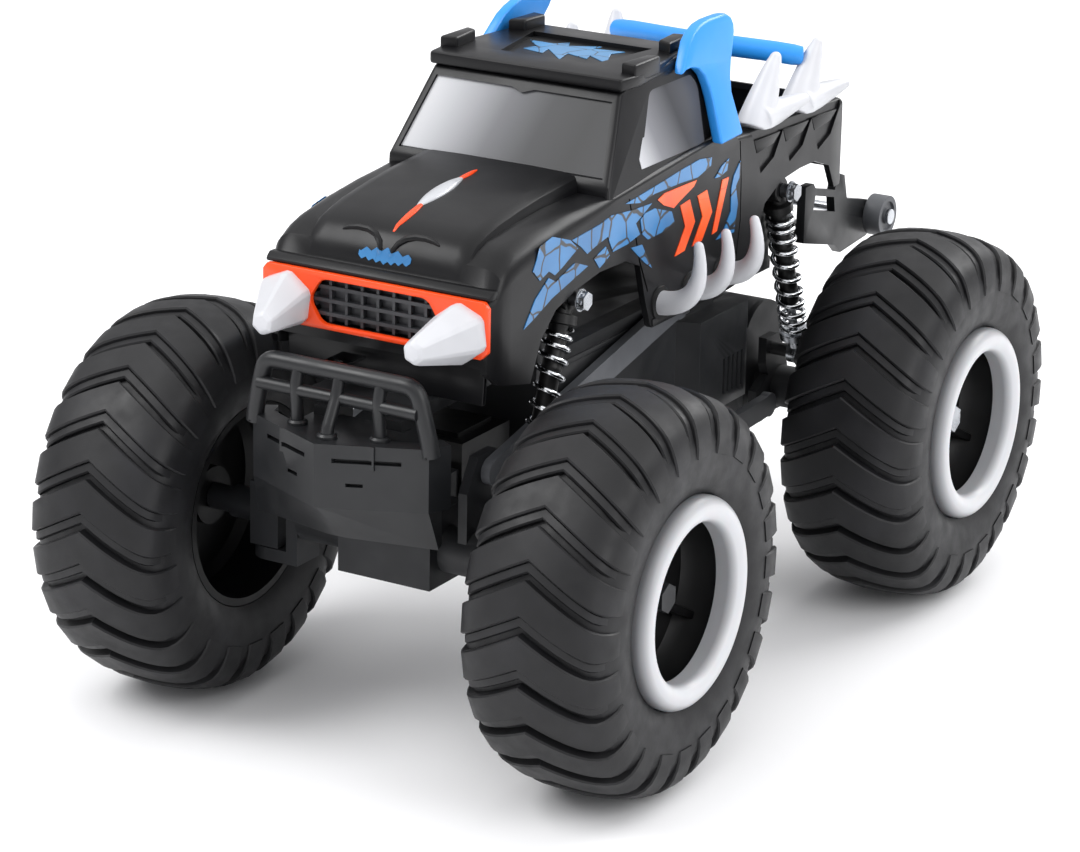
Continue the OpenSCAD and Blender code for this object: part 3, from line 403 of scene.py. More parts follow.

# %% [markdown]
# ### Bead ring
# The ring in each wheel is white ABS. Its inner and outer edges, where it meets the rim and the
# rubber, are darkened with painted shade. The distance from the axle sets the tint. The two
# axles lie equally far in front of the middle and behind it, so the absolute value of y serves
# both.

# %% Ring
AXLE_Y, AXLE_Z = 96.7, 60.0
RING_INSIDE, RING_OUTSIDE = 23.2, 31.8
ring_white, tree, shader, place = finish_of("white ABS, soft gloss", 0.38, IOR=1.5,
                                            Subsurface_Weight=0.1, Subsurface_Scale=0.002)
xyz = add(tree, "ShaderNodeSeparateXYZ", {"Vector": place}).outputs
along = add(tree, "ShaderNodeMath", {0: xyz["Y"]}, operation="ABSOLUTE").outputs[0]
off_y, off_z = (add(tree, "ShaderNodeMath", {0: value, 1: axle * MM},
                    operation="SUBTRACT").outputs[0]
                for value, axle in ((along, AXLE_Y), (xyz["Z"], AXLE_Z)))
flat = add(tree, "ShaderNodeCombineXYZ", {"X": off_y, "Y": off_z}).outputs[0]
reach = add(tree, "ShaderNodeVectorMath", {0: flat}, operation="LENGTH").outputs["Value"]
shade_across_ring = add(tree, "ShaderNodeMapRange",
            {"Value": reach, "From Min": RING_INSIDE * MM,
             "From Max": RING_OUTSIDE * MM}).outputs["Result"]
# painted shade: the white ring darkens towards its inner and outer edges, next to the rim and
# the rubber
tree.links.new(ramp(tree, shade_across_ring, (0.0, "#8d8e91"), (0.2, "#c3c4c7"), (0.66, "#b9babd"),
                    (1.0, "#606164")), shader.inputs["Base Color"])
vary(tree, shader, noise(tree, place, 5, 4), 0.32, 0.46)
grain(tree, shader, noise(tree, place, 0.6, 2), 0.006)
print("made", ring_white.name)

# %% [markdown]
# ### Window panels
# The windows aren't clear: they are silver-grey plates. A slanted ramp from silver to graphite
# draws a painted reflection on them. Over the front window it runs from the top of the toy's
# right side down to its left, and over the side windows from the lower front to the upper rear.

# %% Windows with a painted reflection
def sprayed_window(name, low, high, stops):
    """Silver-grey with a painted reflection that fades from the low point to the high point,
    both in millimetres.
    """
    material, tree, shader, place = finish_of(name, 0.34, IOR=1.45,
                                              Specular_IOR_Level=0.3)
    way = (Vector(high) - Vector(low)) * MM
    shift = add(tree, "ShaderNodeVectorMath", {0: place, 1: Vector(low) * MM},
                operation="SUBTRACT").outputs[0]
    dot = add(tree, "ShaderNodeVectorMath", {0: shift, 1: way / way.length_squared},
              operation="DOT_PRODUCT").outputs["Value"]
    # painted reflection: a slanted fade from silver to graphite across the panel
    tree.links.new(ramp(tree, dot, *stops), shader.inputs["Base Color"])
    grain(tree, shader, noise(tree, place, 0.8, 2), 0.004, 0.3)
    return material


# the painted reflection's colours on the front window, from its light end to its dark end
WINDSHIELD_REFLECTION_FADE = ((0.0, "#c4c5c8"), (0.2, "#9c9da1"), (0.42, "#5c5d61"), (0.62, "#2a2b2e"),
               (0.82, "#17181a"), (1.0, "#242528"))
windshield_painted_reflection = sprayed_window("silver spray, front window", (-34, -42, 182),
                                  (34, -42, 163), WINDSHIELD_REFLECTION_FADE)
side_windows_painted_reflection = sprayed_window("silver spray, side windows", (37, -26, 166), (37, 15, 184),
                            ((0.0, "#bfc0c4"), (0.25, "#77787d"), (0.6, "#36373b"),
                             (1.0, "#5a5b60")))
print("made", windshield_painted_reflection.name, "and", side_windows_painted_reflection.name)

# %% [markdown]
# ### Stickers
# Vinyl stickers, printed and trimmed. The blue ones on the sides and the roof carry dark
# cracks, like split ice, about 9 mm apart, drawn with the edges of Voronoi cells. On the
# orange ones and on the nose the crack's colour stays close to the vinyl's own.

# %% Printed vinyl
def vinyl(name, light, deep, crack, cell_mm, width):
    material, tree, shader, place = finish_of(name, 0.3, IOR=1.5, Coat_Weight=0.3,
                                              Coat_Roughness=0.15)
    wobble = add(tree, "ShaderNodeTexNoise", {"Vector": place, "Scale": per_mm(12)})
    bent = add(tree, "ShaderNodeVectorMath", {0: wobble.outputs["Color"], 1: (0.004,) * 3},
               operation="MULTIPLY").outputs[0]
    warped = add(tree, "ShaderNodeVectorMath", {0: place, 1: bent}, operation="ADD").outputs[0]
    edge = add(tree, "ShaderNodeTexVoronoi", {"Vector": warped, "Scale": per_mm(cell_mm)},
               feature="DISTANCE_TO_EDGE").outputs["Distance"]
    tint = ramp(tree, noise(tree, place, 18), (0.35, deep), (0.65, light))
    mask = add(tree, "ShaderNodeMapRange", {"Value": edge, "From Min": width,
                                            "From Max": width * 1.6}).outputs["Result"]
    mixed = add(tree, "ShaderNodeMix", {"Factor": mask, 6: srgb(crack), 7: tint},
                data_type="RGBA")
    tree.links.new(mixed.outputs[2], shader.inputs["Base Color"])
    grain(tree, shader, noise(tree, place, 0.6, 2), 0.004, 0.3)
    return material


blue_vinyl = vinyl("blue printed vinyl", "#2d78b2", "#23689f", "#12161c", 9, 0.03)
orange_vinyl = vinyl("orange printed vinyl", "#ff641c", "#f04d12", "#e04410", 14, 0.004)
nose_vinyl = vinyl("plain blue vinyl", "#2c74ab", "#25689d", "#215e8e", 14, 0.004)
badge_vinyl = vinyl("pale blue printed vinyl", "#4888b9", "#3c79aa", "#16202b", 10, 0.012)
print("made", ", ".join(v.name for v in (blue_vinyl, orange_vinyl, nose_vinyl, badge_vinyl)))

# %% [markdown]
# ### Metals
# Bolts and shafts are turned steel with fine rings from the lathe. The springs are plated
# with chromium, which is smoother and brighter. The pinion is brass.

# %% Metals
def metal(name, dark, light, rough, ring_mm=0.35):
    material, tree, shader, place = finish_of(name, rough, Metallic=1.0)
    tree.links.new(ramp(tree, noise(tree, place, 6, 5), (0.3, dark), (0.7, light)),
                   shader.inputs["Base Color"])
    vary(tree, shader, noise(tree, place, 3, 5), max(0.04, rough - 0.08), rough + 0.08)
    grain(tree, shader, noise(tree, place, ring_mm, 2), 0.006, 0.3)
    return material


silver_spray = moulded("silver spray on ABS", "#bcbec2", "#c4c6ca", 0.32, depth=0.003,
                       spread=0.02, Metallic=0.3)
bright_steel = metal("turned bright steel", "#9b9ea3", "#c6c9cd", 0.3)
chrome_plate = metal("bright chrome plate", "#c3c6ca", "#e6e8ea", 0.12)
brass = metal("machined brass", "#b58a3c", "#d9b765", 0.28)
print("materials:", len(bpy.data.materials))

# %% [markdown]
# ## Tyres
# Each tyre is a hollow rubber carcass with 24 tall chevron blocks. The carcass is turned
# from its section. One chevron is lofted across the tread, following the crown, with a
# lower step in front of it, and copied around the axle. The tip of each V points forward
# over the top, so that it digs in when the toy drives.

# %% Tyre section
WHEEL_X = 74.6
BLOCKS = 24
CARCASS = [(-20.5, 31.8), (-22, 34.5), (-22.9, 38.5), (-23.1, 43), (-22.7, 47), (-21.3, 50.8),
           (-18.6, 53.6), (-14, 55.6), (-7, 56.7), (0, 57)]
INSIDE = [(0, 52.5), (12, 50.5), (18, 46), (18.4, 37), (14, 31.7)]
CROWN = [(0, 60.0), (4, 59.9), (8, 59.6), (11.5, 59.1), (14.5, 58.4), (17, 57.5), (19.2, 56.3),
         (21, 54.6), (22.3, 52.2), (23.1, 49.4), (23.5, 46.4), (23.4, 43.6)]
section = CARCASS + [(-a, r) for a, r in reversed(CARCASS[:-1])]
section += [(a, r) for a, r in reversed(INSIDE)] + [(-a, r) for a, r in INSIDE[1:]]
carcass = turned("tyre", section, (0, 0, 0), (1, 0, 0), steps=96)


# %% One chevron block
def crown_rows():
    """Points across the tread with the way into the rubber at each."""
    line = [(-a, r) for a, r in reversed(CROWN[1:])] + CROWN
    rows = []
    for i, (a, r) in enumerate(line):
        before, after = line[max(i - 1, 0)], line[min(i + 1, len(line) - 1)]
        t = Vector((after[0] - before[0], after[1] - before[1])).normalized()
        rows.append((a, r, (t.y, -t.x)))
    return rows


HALF_TREAD, CROWN_RADIUS, LEAD = 23.5, 60, 12.4
EDGE, FLARE, SUNK = 0.5, 0.4, 5


def tread_block(name, shift, half, lowered):
    """A bar that runs over the crown in a V. Widths are in millimetres along the tread."""
    rings = []
    for a, r, into in crown_rows():
        middle = shift + LEAD * abs(a) / HALF_TREAD
        ring = []
        for s, depth in ((-half - FLARE, SUNK), (-half, EDGE), (-half + EDGE, 0),
                         (half - EDGE, 0), (half, EDGE), (half + FLARE, SUNK)):
            deep = depth + lowered
            along, radius = a + into[0] * deep, r + into[1] * deep
            turn = (middle + s) / CROWN_RADIUS
            ring.append((along, radius * math.sin(turn), -radius * math.cos(turn)))
        rings.append(ring)
    return loft(name, rings)


block = tread_block("block", 0, 5.1, 0)
step = tread_block("step", 6.7, 1.7, 1.2)
chevron = spun_copies(weld_together("chevron", block, step), BLOCKS)
tyre = smooth(weld_together("tyre", carcass, chevron), 28)
print("tyre faces:", len(tyre.data.polygons))

# %% Four tyres
# side, y, body and the pattern of the CAD names
WHEELS = {"front_left": (1, -AXLE_Y, "front_wheel_left", "front_{}_left"),
          "front_right": (-1, -AXLE_Y, "front_wheel_right", "front_{}_right"),
          "rear_left": (1, AXLE_Y, "rear_drive", "rear_{}s"),
          "rear_right": (-1, AXLE_Y, "rear_drive", "rear_{}s")}
for corner, (side, y, body, pattern) in WHEELS.items():
    place = (side * WHEEL_X, y, AXLE_Z)
    give(copy_of(tyre, f"tyre_{corner}", place), body, "tyre_rubber", tyre_rubber,
         pattern.format("tyre"))
bpy.data.objects.remove(tyre)

# %% [markdown]
# ## Rims and bead rings
# The rim is a deep black bowl with six ribs and a hub. A white ring covers the bead of the
# tyre, and its rounded crown catches the light. Both are drawn at the origin with the
# outer face towards +X; the right-hand wheels take the mirror image.

# %% Rim
BOWL = [(2.5, -6), (9, -6), (9, 1), (27, 1), (29.2, -2), (29.2, -20.5), (31.5, -20.5),
        (31.5, 16.5), (30.6, 17.6), (29.4, 17), (28.6, 8), (26.5, 4.2), (12, 4), (9, 5),
        (8.4, 8.6), (7.4, 9.6), (2.5, 9.6)]
bowl = turned("rim", [(a, r) for r, a in BOWL], (0, 0, 0), (1, 0, 0), steps=72)
rib = plate("rib", [(7, 4.2), (27.6, 4.2), (28.9, 10), (26, 8.6), (12, 6.6), (7, 8.4)],
            -1.3, 1.3, "y")
SWAP_X_AND_Z = Matrix(((0, 0, 1, 0), (0, 1, 0, 0), (1, 0, 0, 0), (0, 0, 0, 1)))
RIBS = 6
rib.data.transform(SWAP_X_AND_Z)
spun_copies(round_edges(edit(rib, OUTWARD), 0.5, 2), RIBS)
rim = smooth(weld_together("rim", bowl, rib))
print("rim faces:", len(rim.data.polygons))

# %% Bead ring
CROWN_STEPS = 14
RING_X, RING_RADIUS, RING_PROUD, RING_HALF = 21.1, 27.5, 3.9, 3.95
crown = [(RING_X + RING_PROUD * math.sin(t), RING_RADIUS + RING_HALF * math.cos(t))
         for t in (math.pi * k / CROWN_STEPS for k in range(CROWN_STEPS + 1))]
bead = turned("bead", crown + [(17.2, 23.9), (17.2, 31.3)], (0, 0, 0), (1, 0, 0), steps=96)
for corner, (side, y, body, pattern) in WHEELS.items():
    place = (side * WHEEL_X, y, AXLE_Z)
    for kind, source, finish, slot_name in (("rim", rim, black_abs, "black_plastic"),
                                            ("ring", bead, ring_white, "ring_plastic")):
        give(copy_of(source, f"{kind}_{corner}", place, flip=side < 0), body, slot_name,
             finish, pattern.format(kind))
bpy.data.objects.remove(rim)
bpy.data.objects.remove(bead)

# %% [markdown]
# ## Body shell
# The real shell is one thin moulding with a trimmed lower edge. Here its lower body is
# lofted from nose to tail, so that the wings roll over in a soft shoulder. A raised bonnet
# and a tapered cab are added, the hollow and all openings are cut, and the wheel arches
# come from one side outline.

# %% Lower body
# y and z of what stays: over the top with room to spare, then along the trimmed lower edge
TRIMMED = [(-108, 117.4), (-111.5, 121), (-113, 141), (-113, 180), (113, 180), (113, 133.8),
           (107, 129.5), (102.6, 129.2), (98, 137.5), (87.7, 141.1), (77, 141.1),
           (64.5, 139.9), (53.2, 134.8), (48.5, 125.4), (44.7, 113.2), (30, 112), (-19, 112),
           (-20.2, 113), (-23.9, 122), (-27.6, 133.5), (-36.3, 137.1), (-51.9, 137.5),
           (-66, 135.4), (-77.2, 132.2), (-85.4, 125.2), (-91, 113.5)]
# y, height of the top, half width, radius of the shoulder
STATIONS = [(-112.4, 141.0, 34.6, 2.0), (-111.6, 142.6, 36.6, 3.0), (-109.2, 145.0, 38.2, 4.5),
            (-106.4, 150.6, 38.9, 6.5), (-102, 153.6, 39, 7.5), (-97, 155.4, 39, 7.8),
            (-84, 157.2, 39, 7.0), (-67, 158.4, 39, 5.5), (-52, 158.6, 39, 3.5),
            (-44, 158.6, 39, 1.8), (31, 164.5, 39, 1.6), (33.6, 160.4, 39, 1.6),
            (42.4, 159.9, 39, 1.6), (106.3, 158.3, 39, 2.0), (108.6, 153, 38, 2.2),
            (112.1, 144.7, 35.4, 2.4), (112.5, 133.8, 35, 2.4)]


def body_ring(y, top, half, round_r, inset=0.0, floor=108.0):
    """The body's section at y: straight side, rounded shoulder and a slightly domed top."""
    half, top, round_r = half - inset, top - inset, max(round_r - inset, 0.8)
    arc = [(half - round_r + round_r * math.cos(t), top - round_r + round_r * math.sin(t))
           for t in (math.pi / 2 * k / 6 for k in range(7))]
    right = [(half, floor), (half, top - round_r - 6), *arc, (half * 0.5, top + 0.25)]
    return [(x, y, z) for x, z in right + [(-x, z) for x, z in reversed(right)]]


shell = loft("shell", [body_ring(*s) for s in STATIONS])
combine(shell, plate("outline", TRIMMED, -60, 60), "INTERSECT")
print("lower body:", len(shell.data.polygons), "faces")

# %% Bonnet and cab
HOOD = [(-108.6, 147.2), (-107.0, 151.4), (-104.6, 154.6), (-101.6, 156.9), (-96, 158.7),
        (-89.4, 160.3), (-78, 162), (-66.5, 163.3), (-46, 164.6), (-40, 164.8)]
CAB = [(-47, 150), (-47, 161.2), (-30.5, 186.2), (-26, 188.5), (16, 190.5), (22, 188),
       (33, 158), (33, 150)]


CAB_REACH, CAB_LEAN, HALF_BODY = 76.86, 0.2375, 39


def cab_half(z):
    """Half width of the cab at height z: its sides lean inwards."""
    return CAB_REACH - CAB_LEAN * z


def hood_ring(y, z):
    """The bonnet's section: a raised panel with rounded shoulders."""
    right = [(28.5, z - 12), (27.6, z - 4), (26.8, z - 1.9), (25.4, z - 0.8), (22.5, z - 0.25),
             (12, z)]
    return [(x, y, h) for x, h in right + [(-x, h) for x, h in reversed(right)]]


combine(shell, loft("bonnet", [hood_ring(*p) for p in HOOD]), "UNION")


def leaning(piece, margin=0.0):
    """Moves the sides of a plate in, to follow the lean of the cab."""
    for vertex in piece.data.vertices:
        lean = (min(cab_half(vertex.co.z / MM), HALF_BODY) - margin) * MM
        vertex.co.x = math.copysign(lean, vertex.co.x)
    return piece


cab = round_edges(leaning(plate("cab", CAB, -40, 40)), 1.3, 3, 20)
combine(shell, cab, "UNION")
visor = plate("visor", whole([(33.4, -32), (34.4, -24), (34.2, -20), (29.2, 16), (27, 20)]),
              186.6, 190.6, "z")
combine(shell, round_edges(visor, 1.0, 3), "UNION")
print("with bonnet and cab:", len(shell.data.polygons), "faces")

# %% Hollow
combine(shell, loft("hollow", [body_ring(*s, inset=2.0, floor=100.0)
                               for s in STATIONS[1:-1]]), "DIFFERENCE")
CAB_ROOM = [(-44.6, 140), (-44.6, 161.5), (-29, 184.6), (-25.5, 186), (16, 186), (20.4, 185),
            (29.8, 160), (30, 140)]
BED_FLOOR = 148
combine(shell, leaning(plate("room", CAB_ROOM, -30, 30), 2.0), "DIFFERENCE")
tray = plate("tray", whole([(33, 38), (33, 105)]), BED_FLOOR, 170, "z")
combine(shell, round_edges(tray, 1.2, 2), "DIFFERENCE")
bed = plate("bed_floor", whole([(36.9, 35), (36.9, 108)]), BED_FLOOR - 2, BED_FLOOR, "z")
combine(shell, bed, "UNION")
print("hollow shell:", len(shell.data.polygons), "faces")

# %% Openings and seams
def rounded(outline, radius, steps=5):
    """A closed outline with its corners rounded."""
    points = [Vector((*p, 0)) for p in outline]
    soft = []
    for a, b, c in zip(points[-1:] + points[:-1], points, points[1:] + points[:1]):
        before, after = b + (a - b).normalized() * radius, b + (c - b).normalized() * radius
        soft += [(p.x, p.y) for p in curve_through(before, b, after, steps)]
    return soft


WINDOW = [(-25.8, 163), (-14, 183.8), (12.6, 183.8), (15.4, 179.6), (13.7, 163)]
FRONT_GLASS = whole([(35.5, 163.4), (30.6, 183.6), (4, 183.6), (0.01, 182.4)])
REAR_GLASS = whole([(31, 166), (28, 183)])
BADGE = [(-16, -19), (16, -19), (21, 9), (-21, 9)]
MOUTH = whole([(19, 140.6), (22.5, 134), (19, 127.6)])
LOUVER = [(0, 0), (23.5, -0.6), (15.8, -11), (7, -14.5)]
LOUVERS, LOUVER_START, LOUVER_STEP = 3, (42.5, 159.8), (20, -0.4)
FRONT_SEAM = [(-35.6, 156), (-34.9, 156), (-27.3, 134.6), (-22.1, 124.5), (-22.6, 124),
              (-28, 134.4)]
REAR_SEAM = [(34.4, 159), (35, 159), (36.6, 146), (36.9, 133), (34.8, 121), (34.2, 121),
             (36.3, 133), (36, 146)]


def at_louver(k, outline):
    """An outline moved to the bed's louver number k."""
    return [(y + LOUVER_START[0] + LOUVER_STEP[0] * k, z + LOUVER_START[1] + LOUVER_STEP[1] * k)
            for y, z in outline]


def on_flank(name, outline, side, inner, outer):
    """A plate on the body's flank: the side is 1 for the left and -1 for the right."""
    return plate(name, outline, *sorted((side * inner, side * outer)))


for opening in ((rounded(WINDOW, 2.4), -60, 60), (FRONT_GLASS, -46.5, -20, "y"),
                (REAR_GLASS, 16, 50, "y"), (BADGE, 189.2, 196, "z"), (MOUTH, -116, -104, "y")):
    combine(shell, plate("opening", *opening), "DIFFERENCE")
for side in (1, -1):
    for k in range(LOUVERS):
        combine(shell, on_flank("recess", at_louver(k, LOUVER), side, 38.1, 42), "DIFFERENCE")
    for seam in (FRONT_SEAM, REAR_SEAM):
        combine(shell, on_flank("seam", seam, side, 38.45, 42), "DIFFERENCE")
print("openings cut:", len(shell.data.polygons), "faces")

# %% Trim that is part of the shell
def tusk_like(name, path, radii, sides=12, squash=1.0):
    """A round bar along a path, with its own radius at each point."""
    points = [Vector(p) for p in path]
    ways = [(points[min(i + 1, len(points) - 1)] - points[max(i - 1, 0)]).normalized()
            for i in range(len(points))]
    level = min(Matrix.Identity(3), key=lambda axis: max(abs(axis.dot(way)) for way in ways))
    rings = []
    for point, way, radius in zip(points, ways, radii, strict=True):
        u = way.cross(level).normalized()
        v = way.cross(u)
        rings.append([point + radius * (math.cos(a) * u + squash * math.sin(a) * v)
                      for a in (math.tau * k / sides for k in range(sides))])
    return smooth(loft(name, rings), 50)


trim = [shell]
lip = plate("lip", [(-112.3, 142.9), (-112.4, 144.1), (-110.6, 145.6), (-108, 145.6),
                    (-108, 142.9)], -38.2, 38.2)
trim.append(round_edges(lip, 0.5, 2))
backing = plate("backing", whole([(27, 144), (27, 124.5)]), -108.4, -107.4, "y")
trim.append(backing)
# a black panel under the nose: partly the band seen there, partly painted shade that fills the
# shadowed gap above the bumper
valance = plate("valance", whole([(34, 122.5), (33.2, 110)]), -107.6, -105.8, "y")
trim.append(round_edges(valance, 0.5, 2))


def nose_point(x, z):
    """Where a level line towards the rear meets the nose at x and z."""
    hit, place, *_ = shell.ray_cast(Vector((x, -130, z)) * MM, Vector((0, 1, 0)))
    return place / MM if hit else Vector((x, -106, z))


# %% Brows, roof blocks, shelves and sills
BROW = [(1.7, 149.4), (2.1, 151), (3.2, 152.9), (5.2, 154.4), (8, 155.1), (11.5, 155.2),
        (14.6, 154.8), (16.4, 154.2)]
BROW_RADII = [0.3, 0.75, 0.95, 1.0, 1.0, 0.95, 0.75, 0.3]
ROOF_BLOCKS = (([(28.6, -24), (34.2, -25), (34.0, -9), (30, -10.5)], 193.8),
               ([(23.5, 8), (28.7, 6), (27.5, 20), (22.5, 19)], 194))
SHELF = [(2.2, -3), (20.6, -3.6), (16, -6.6), (4.5, -7.6)]
SILL = [(-19, 112.2), (44.6, 113.2), (45.4, 115.6), (-19.6, 114.8)]
for side in (1, -1):
    brow = [nose_point(side * x, z) for x, z in BROW]
    trim.append(tusk_like("brow", brow, BROW_RADII))
    for outline, top in ROOF_BLOCKS:
        raised = plate("roof_block", [(side * x, y) for x, y in outline], 188, top, "z")
        trim.append(round_edges(raised, 0.9, 3))
    for k in range(LOUVERS):
        shelf = on_flank("shelf", at_louver(k, SHELF), side, 38, 38.8)
        trim.append(round_edges(shelf, 0.3, 2))
    trim.append(round_edges(on_flank("sill", SILL, side, 37.4, 39.5), 0.5, 2))
shell = weld_together("body_shell_painted", *trim)
smooth(shell, 28)
give(shell, "chassis", "shell_plastic", shell_paint, "body_shell")

# %% [markdown]
# ## Nose: frame, tusks and spear
# The orange frame is a flat moulding with a rounded mouth. The headlights are two white
# tusks with six flat sides that run to a blunt point. The spear on the bonnet has an
# orange shaft and a silver blade, slightly raised. Two blue stickers follow: a bolt on the
# roof and a ragged bar that clings to the nose.

# %% Grille frame
frame_plate = plate("grille_frame_orange", whole([(36.8, 143), (38.3, 141.2), (38.3, 128.2),
                                                  (36, 126)]), -113.9, -112.02, "y")
mouth = round_edges(plate("mouth", whole([(18, 141), (22.3, 134.2), (18, 127.6)]), -120, -100,
                          "y"), 2.4, 4, 20)
combine(frame_plate, mouth, "DIFFERENCE")
round_edges(frame_plate, 0.35, 2)
give(frame_plate, "chassis", "orange_plastic", orange_abs, "grille_frame")

# %% Headlight tusks
FLATS, FIRST_CORNER, CORNER = 6, 0.62, 0.09


def tusk_ring(centre, radius):
    """An upright hexagon with small flats for corners."""
    cx, cy, cz = centre
    points = []
    for k in range(FLATS):
        for nudge in (-CORNER, CORNER):
            a = math.tau * (k + FIRST_CORNER + nudge) / FLATS
            points.append((cx + radius * math.cos(a), cy, cz + radius * math.sin(a)))
    return points


# y, x, z and radius, from the root to the blunt tip
HEADLIGHT = [(-109, 29.7, 133.3, 6.8), (-112.2, 29.8, 133.3, 7.4), (-113.4, 29.8, 133.2, 8.6),
             (-116.4, 29.6, 133.0, 8.7), (-117.4, 29.5, 133.0, 8.45), (-130.6, 26.0, 131.4, 4.3),
             (-132.6, 25.6, 131.25, 3.5), (-133.4, 25.4, 131.2, 2.3),
             (-133.6, 25.35, 131.2, 0.7)]
tusk = loft("headlight_tusk_left", [tusk_ring((x, y, z), r) for y, x, z, r in HEADLIGHT])
round_edges(tusk, 0.5, 3, 18)
give_pair(tusk, "chassis", "white_plastic", white_abs, "headlight_tusks")

# %% Bonnet spear
def hood_height(y):
    """Height of the bonnet's middle at y."""
    for (y0, z0), (y1, z1) in zip(HOOD, HOOD[1:]):
        if y0 <= y <= y1:
            return z0 + (z1 - z0) * (y - y0) / (y1 - y0)
    return HOOD[-1][1]


SPEAR_STEPS = 24


def spear_part(name, y0, y1, widest, lift, bend_x=0.0):
    """A slim dome on the bonnet from y0 to y1, pointed at both ends."""
    rings = []
    for k in range(SPEAR_STEPS + 1):
        t = k / SPEAR_STEPS
        y = y0 + (y1 - y0) * t
        half = 0.12 + widest * math.sin(math.pi * min(1, 0.04 + 0.94 * t)) ** 0.8
        x = bend_x * math.sin(math.pi * (1 - t))
        z = hood_height(y)
        high = lift * min(1, half / widest + 0.15)
        dome = [(x + half * math.cos(a), y, z + high * math.sin(a))
                for a in (math.pi * n / 10 for n in range(11))]
        rings.append([(x + half, y, z - 1), *dome, (x - half, y, z - 1)])
    return smooth(loft(name, rings), 50)


shaft = weld_together("spear_shaft", spear_part("front", -103.4, -86, 1.0, 0.6, 0.4),
                      spear_part("rear", -70, -58, 0.8, 0.6))
give(shaft, "chassis", "orange_plastic", orange_abs, "hood_spear")
blade = spear_part("spear_blade", -90.4, -66, 2.5, 1.15)
give(blade, "chassis", "bright_steel", silver_spray)

# %% Roof bolt and nose bar
ROOF_BOLT = [(-18.4, 2.6), (-12.6, -3.6), (-14.4, -8.2), (-6.4, -10.6), (-7.6, -4.6),
             (2.2, -14.8), (0.2, -6.4), (8.6, -9.4), (7.4, -5.2), (16.4, -11.2), (11.4, 0.6),
             (13.8, 5.2), (3.4, 3.4), (4.6, 7.4), (-4.4, 2.2), (-6.4, 6.2), (-9.8, 2.4)]
bolt = round_edges(plate("roof_bolt_sticker", ROOF_BOLT, 189.16, 189.42, "z"), 0.08, 1)
give(bolt, "chassis", "emblem_sticker", badge_vinyl, "emblems")
BAND_STEPS, BAND_ROWS, BAND_WIDE, BAND_LOW, BAND_HIGH = 48, 4, 17.6, 146.9, 150.6
JUST_OFF = Vector((0, -0.1, 0.06))


def jag(across, teeth, shift, tall):
    """The height of a row of teeth at a place from 0 to 1."""
    return abs((across * teeth + shift) % 1 - 0.5) * tall


rows = []
for k in range(BAND_ROWS + 1):
    for i in range(BAND_STEPS + 1):
        across = i / BAND_STEPS
        off_middle = abs(across - 0.5)
        low_z = BAND_LOW + jag(across, 7, 0, 1.9) + 1.3 * off_middle
        high_z = BAND_HIGH + jag(across, 5, 0.35, 2.3) - 2.2 * off_middle
        x, z = (across - 0.5) * BAND_WIDE, low_z + (high_z - low_z) * k / BAND_ROWS
        rows.append(nose_point(x, z) + JUST_OFF)
band = start("nose_jagged_sticker", bpy.ops.mesh.primitive_grid_add, rows,
             x_subdivisions=BAND_STEPS, y_subdivisions=BAND_ROWS)
modify(band, "SOLIDIFY", thickness=0.22 * MM, offset=0)
give(smooth(edit(band, OUTWARD)), "chassis", "emblem_sticker", nose_vinyl, "emblems")

# %% [markdown]
# ## Horns, bar, spikes and tusks
# These are separate gloss mouldings, pushed into the shell. The horns are flat blades with
# rounded edges that lean with the cab. The spikes and tusks are tapered bars bent along a
# smooth path, and each bed spike is two of them fused, which a voxel remesh blends the way
# a mould's fillet would.

# %% Roof horns
HORN = [(15.6, 162.2), (29.8, 162.8), (28.6, 175.8), (29.4, 180.5), (31.4, 184.6),
        (36.4, 192.6), (37, 195), (36.1, 197.3), (33.6, 198.7), (30.3, 199.0), (21.3, 199.0),
        (16, 198.4), (11.5, 196.9), (8, 194.8), (5.5, 192), (2.6, 188.6), (0.6, 185.8),
        (3.6, 186.9), (7, 187), (11, 185.9), (13.8, 183.4), (15.4, 179.6), (16.2, 175.2)]

HORN_THICK, HORN_GAP, HORN_FOOT, FOOT_X = 3.7, 0.15, 166, 39.1
horn = plate("roof_horn_left", HORN, 0, HORN_THICK)
for vertex in horn.data.vertices:
    z = vertex.co.z / MM
    beside_body = FOOT_X if z <= HORN_FOOT else 0
    vertex.co.x += max(cab_half(z) + HORN_GAP, beside_body) * MM
round_edges(horn, 1.2, 3, 40)
give_pair(horn, "chassis", "blue_plastic", blue_abs, "roof_horns")

# %% Roll bar
# x, y, z and radius, from the right end to the middle
HALF_BAR = [(-34.6, 85.2, 175.8, 1.8), (-34.2, 85, 175.8, 3.0), (-31.5, 84, 176, 3.4),
            (-26, 82.1, 176.6, 3.4), (-12, 76.4, 177.8, 3.4), (-4, 73.6, 178.4, 3.4)]
POST = [(148, 0), (148, 6), (149.2, 6), (150, 5), (150.4, 3.6), (152, 3), (178, 3), (178, 0)]
line = HALF_BAR + [(0, 72.9, 178.5, 3.4)] + [(-x, *rest) for x, *rest in reversed(HALF_BAR)]
bar = tusk_like("bar", [p[:3] for p in line], [p[3] for p in line], 24)
post = turned("post", POST, (0, 72.5, 0), (0, 0, 1), 32)
roll_bar = weld_together("roll_bar_blue", bar, post)
give(roll_bar, "chassis", "blue_plastic", blue_abs, "roll_bar")

# %% Bed spikes
SPIKE_X, BEND_STEPS = 36, 14
# how far beyond the end, and how wide there, in radii
ROUND_END = ((0.5, 0.87), (0.85, 0.5), (0.98, 0.15))


def blunt(path, radii):
    """Adds a rounded end to a bar."""
    end, r = path[-1], radii[-1]
    way = (path[-1] - path[-2]).normalized()
    return ([*path, *(end + way * r * a for a, _ in ROUND_END)],
            [*radii, *(r * b for _, b in ROUND_END)])


def tapered(root, tip, power):
    """The radii along a prong that starts with root more than its tip."""
    return [tip + root * (1 - k / BEND_STEPS) ** power for k in range(BEND_STEPS + 1)]


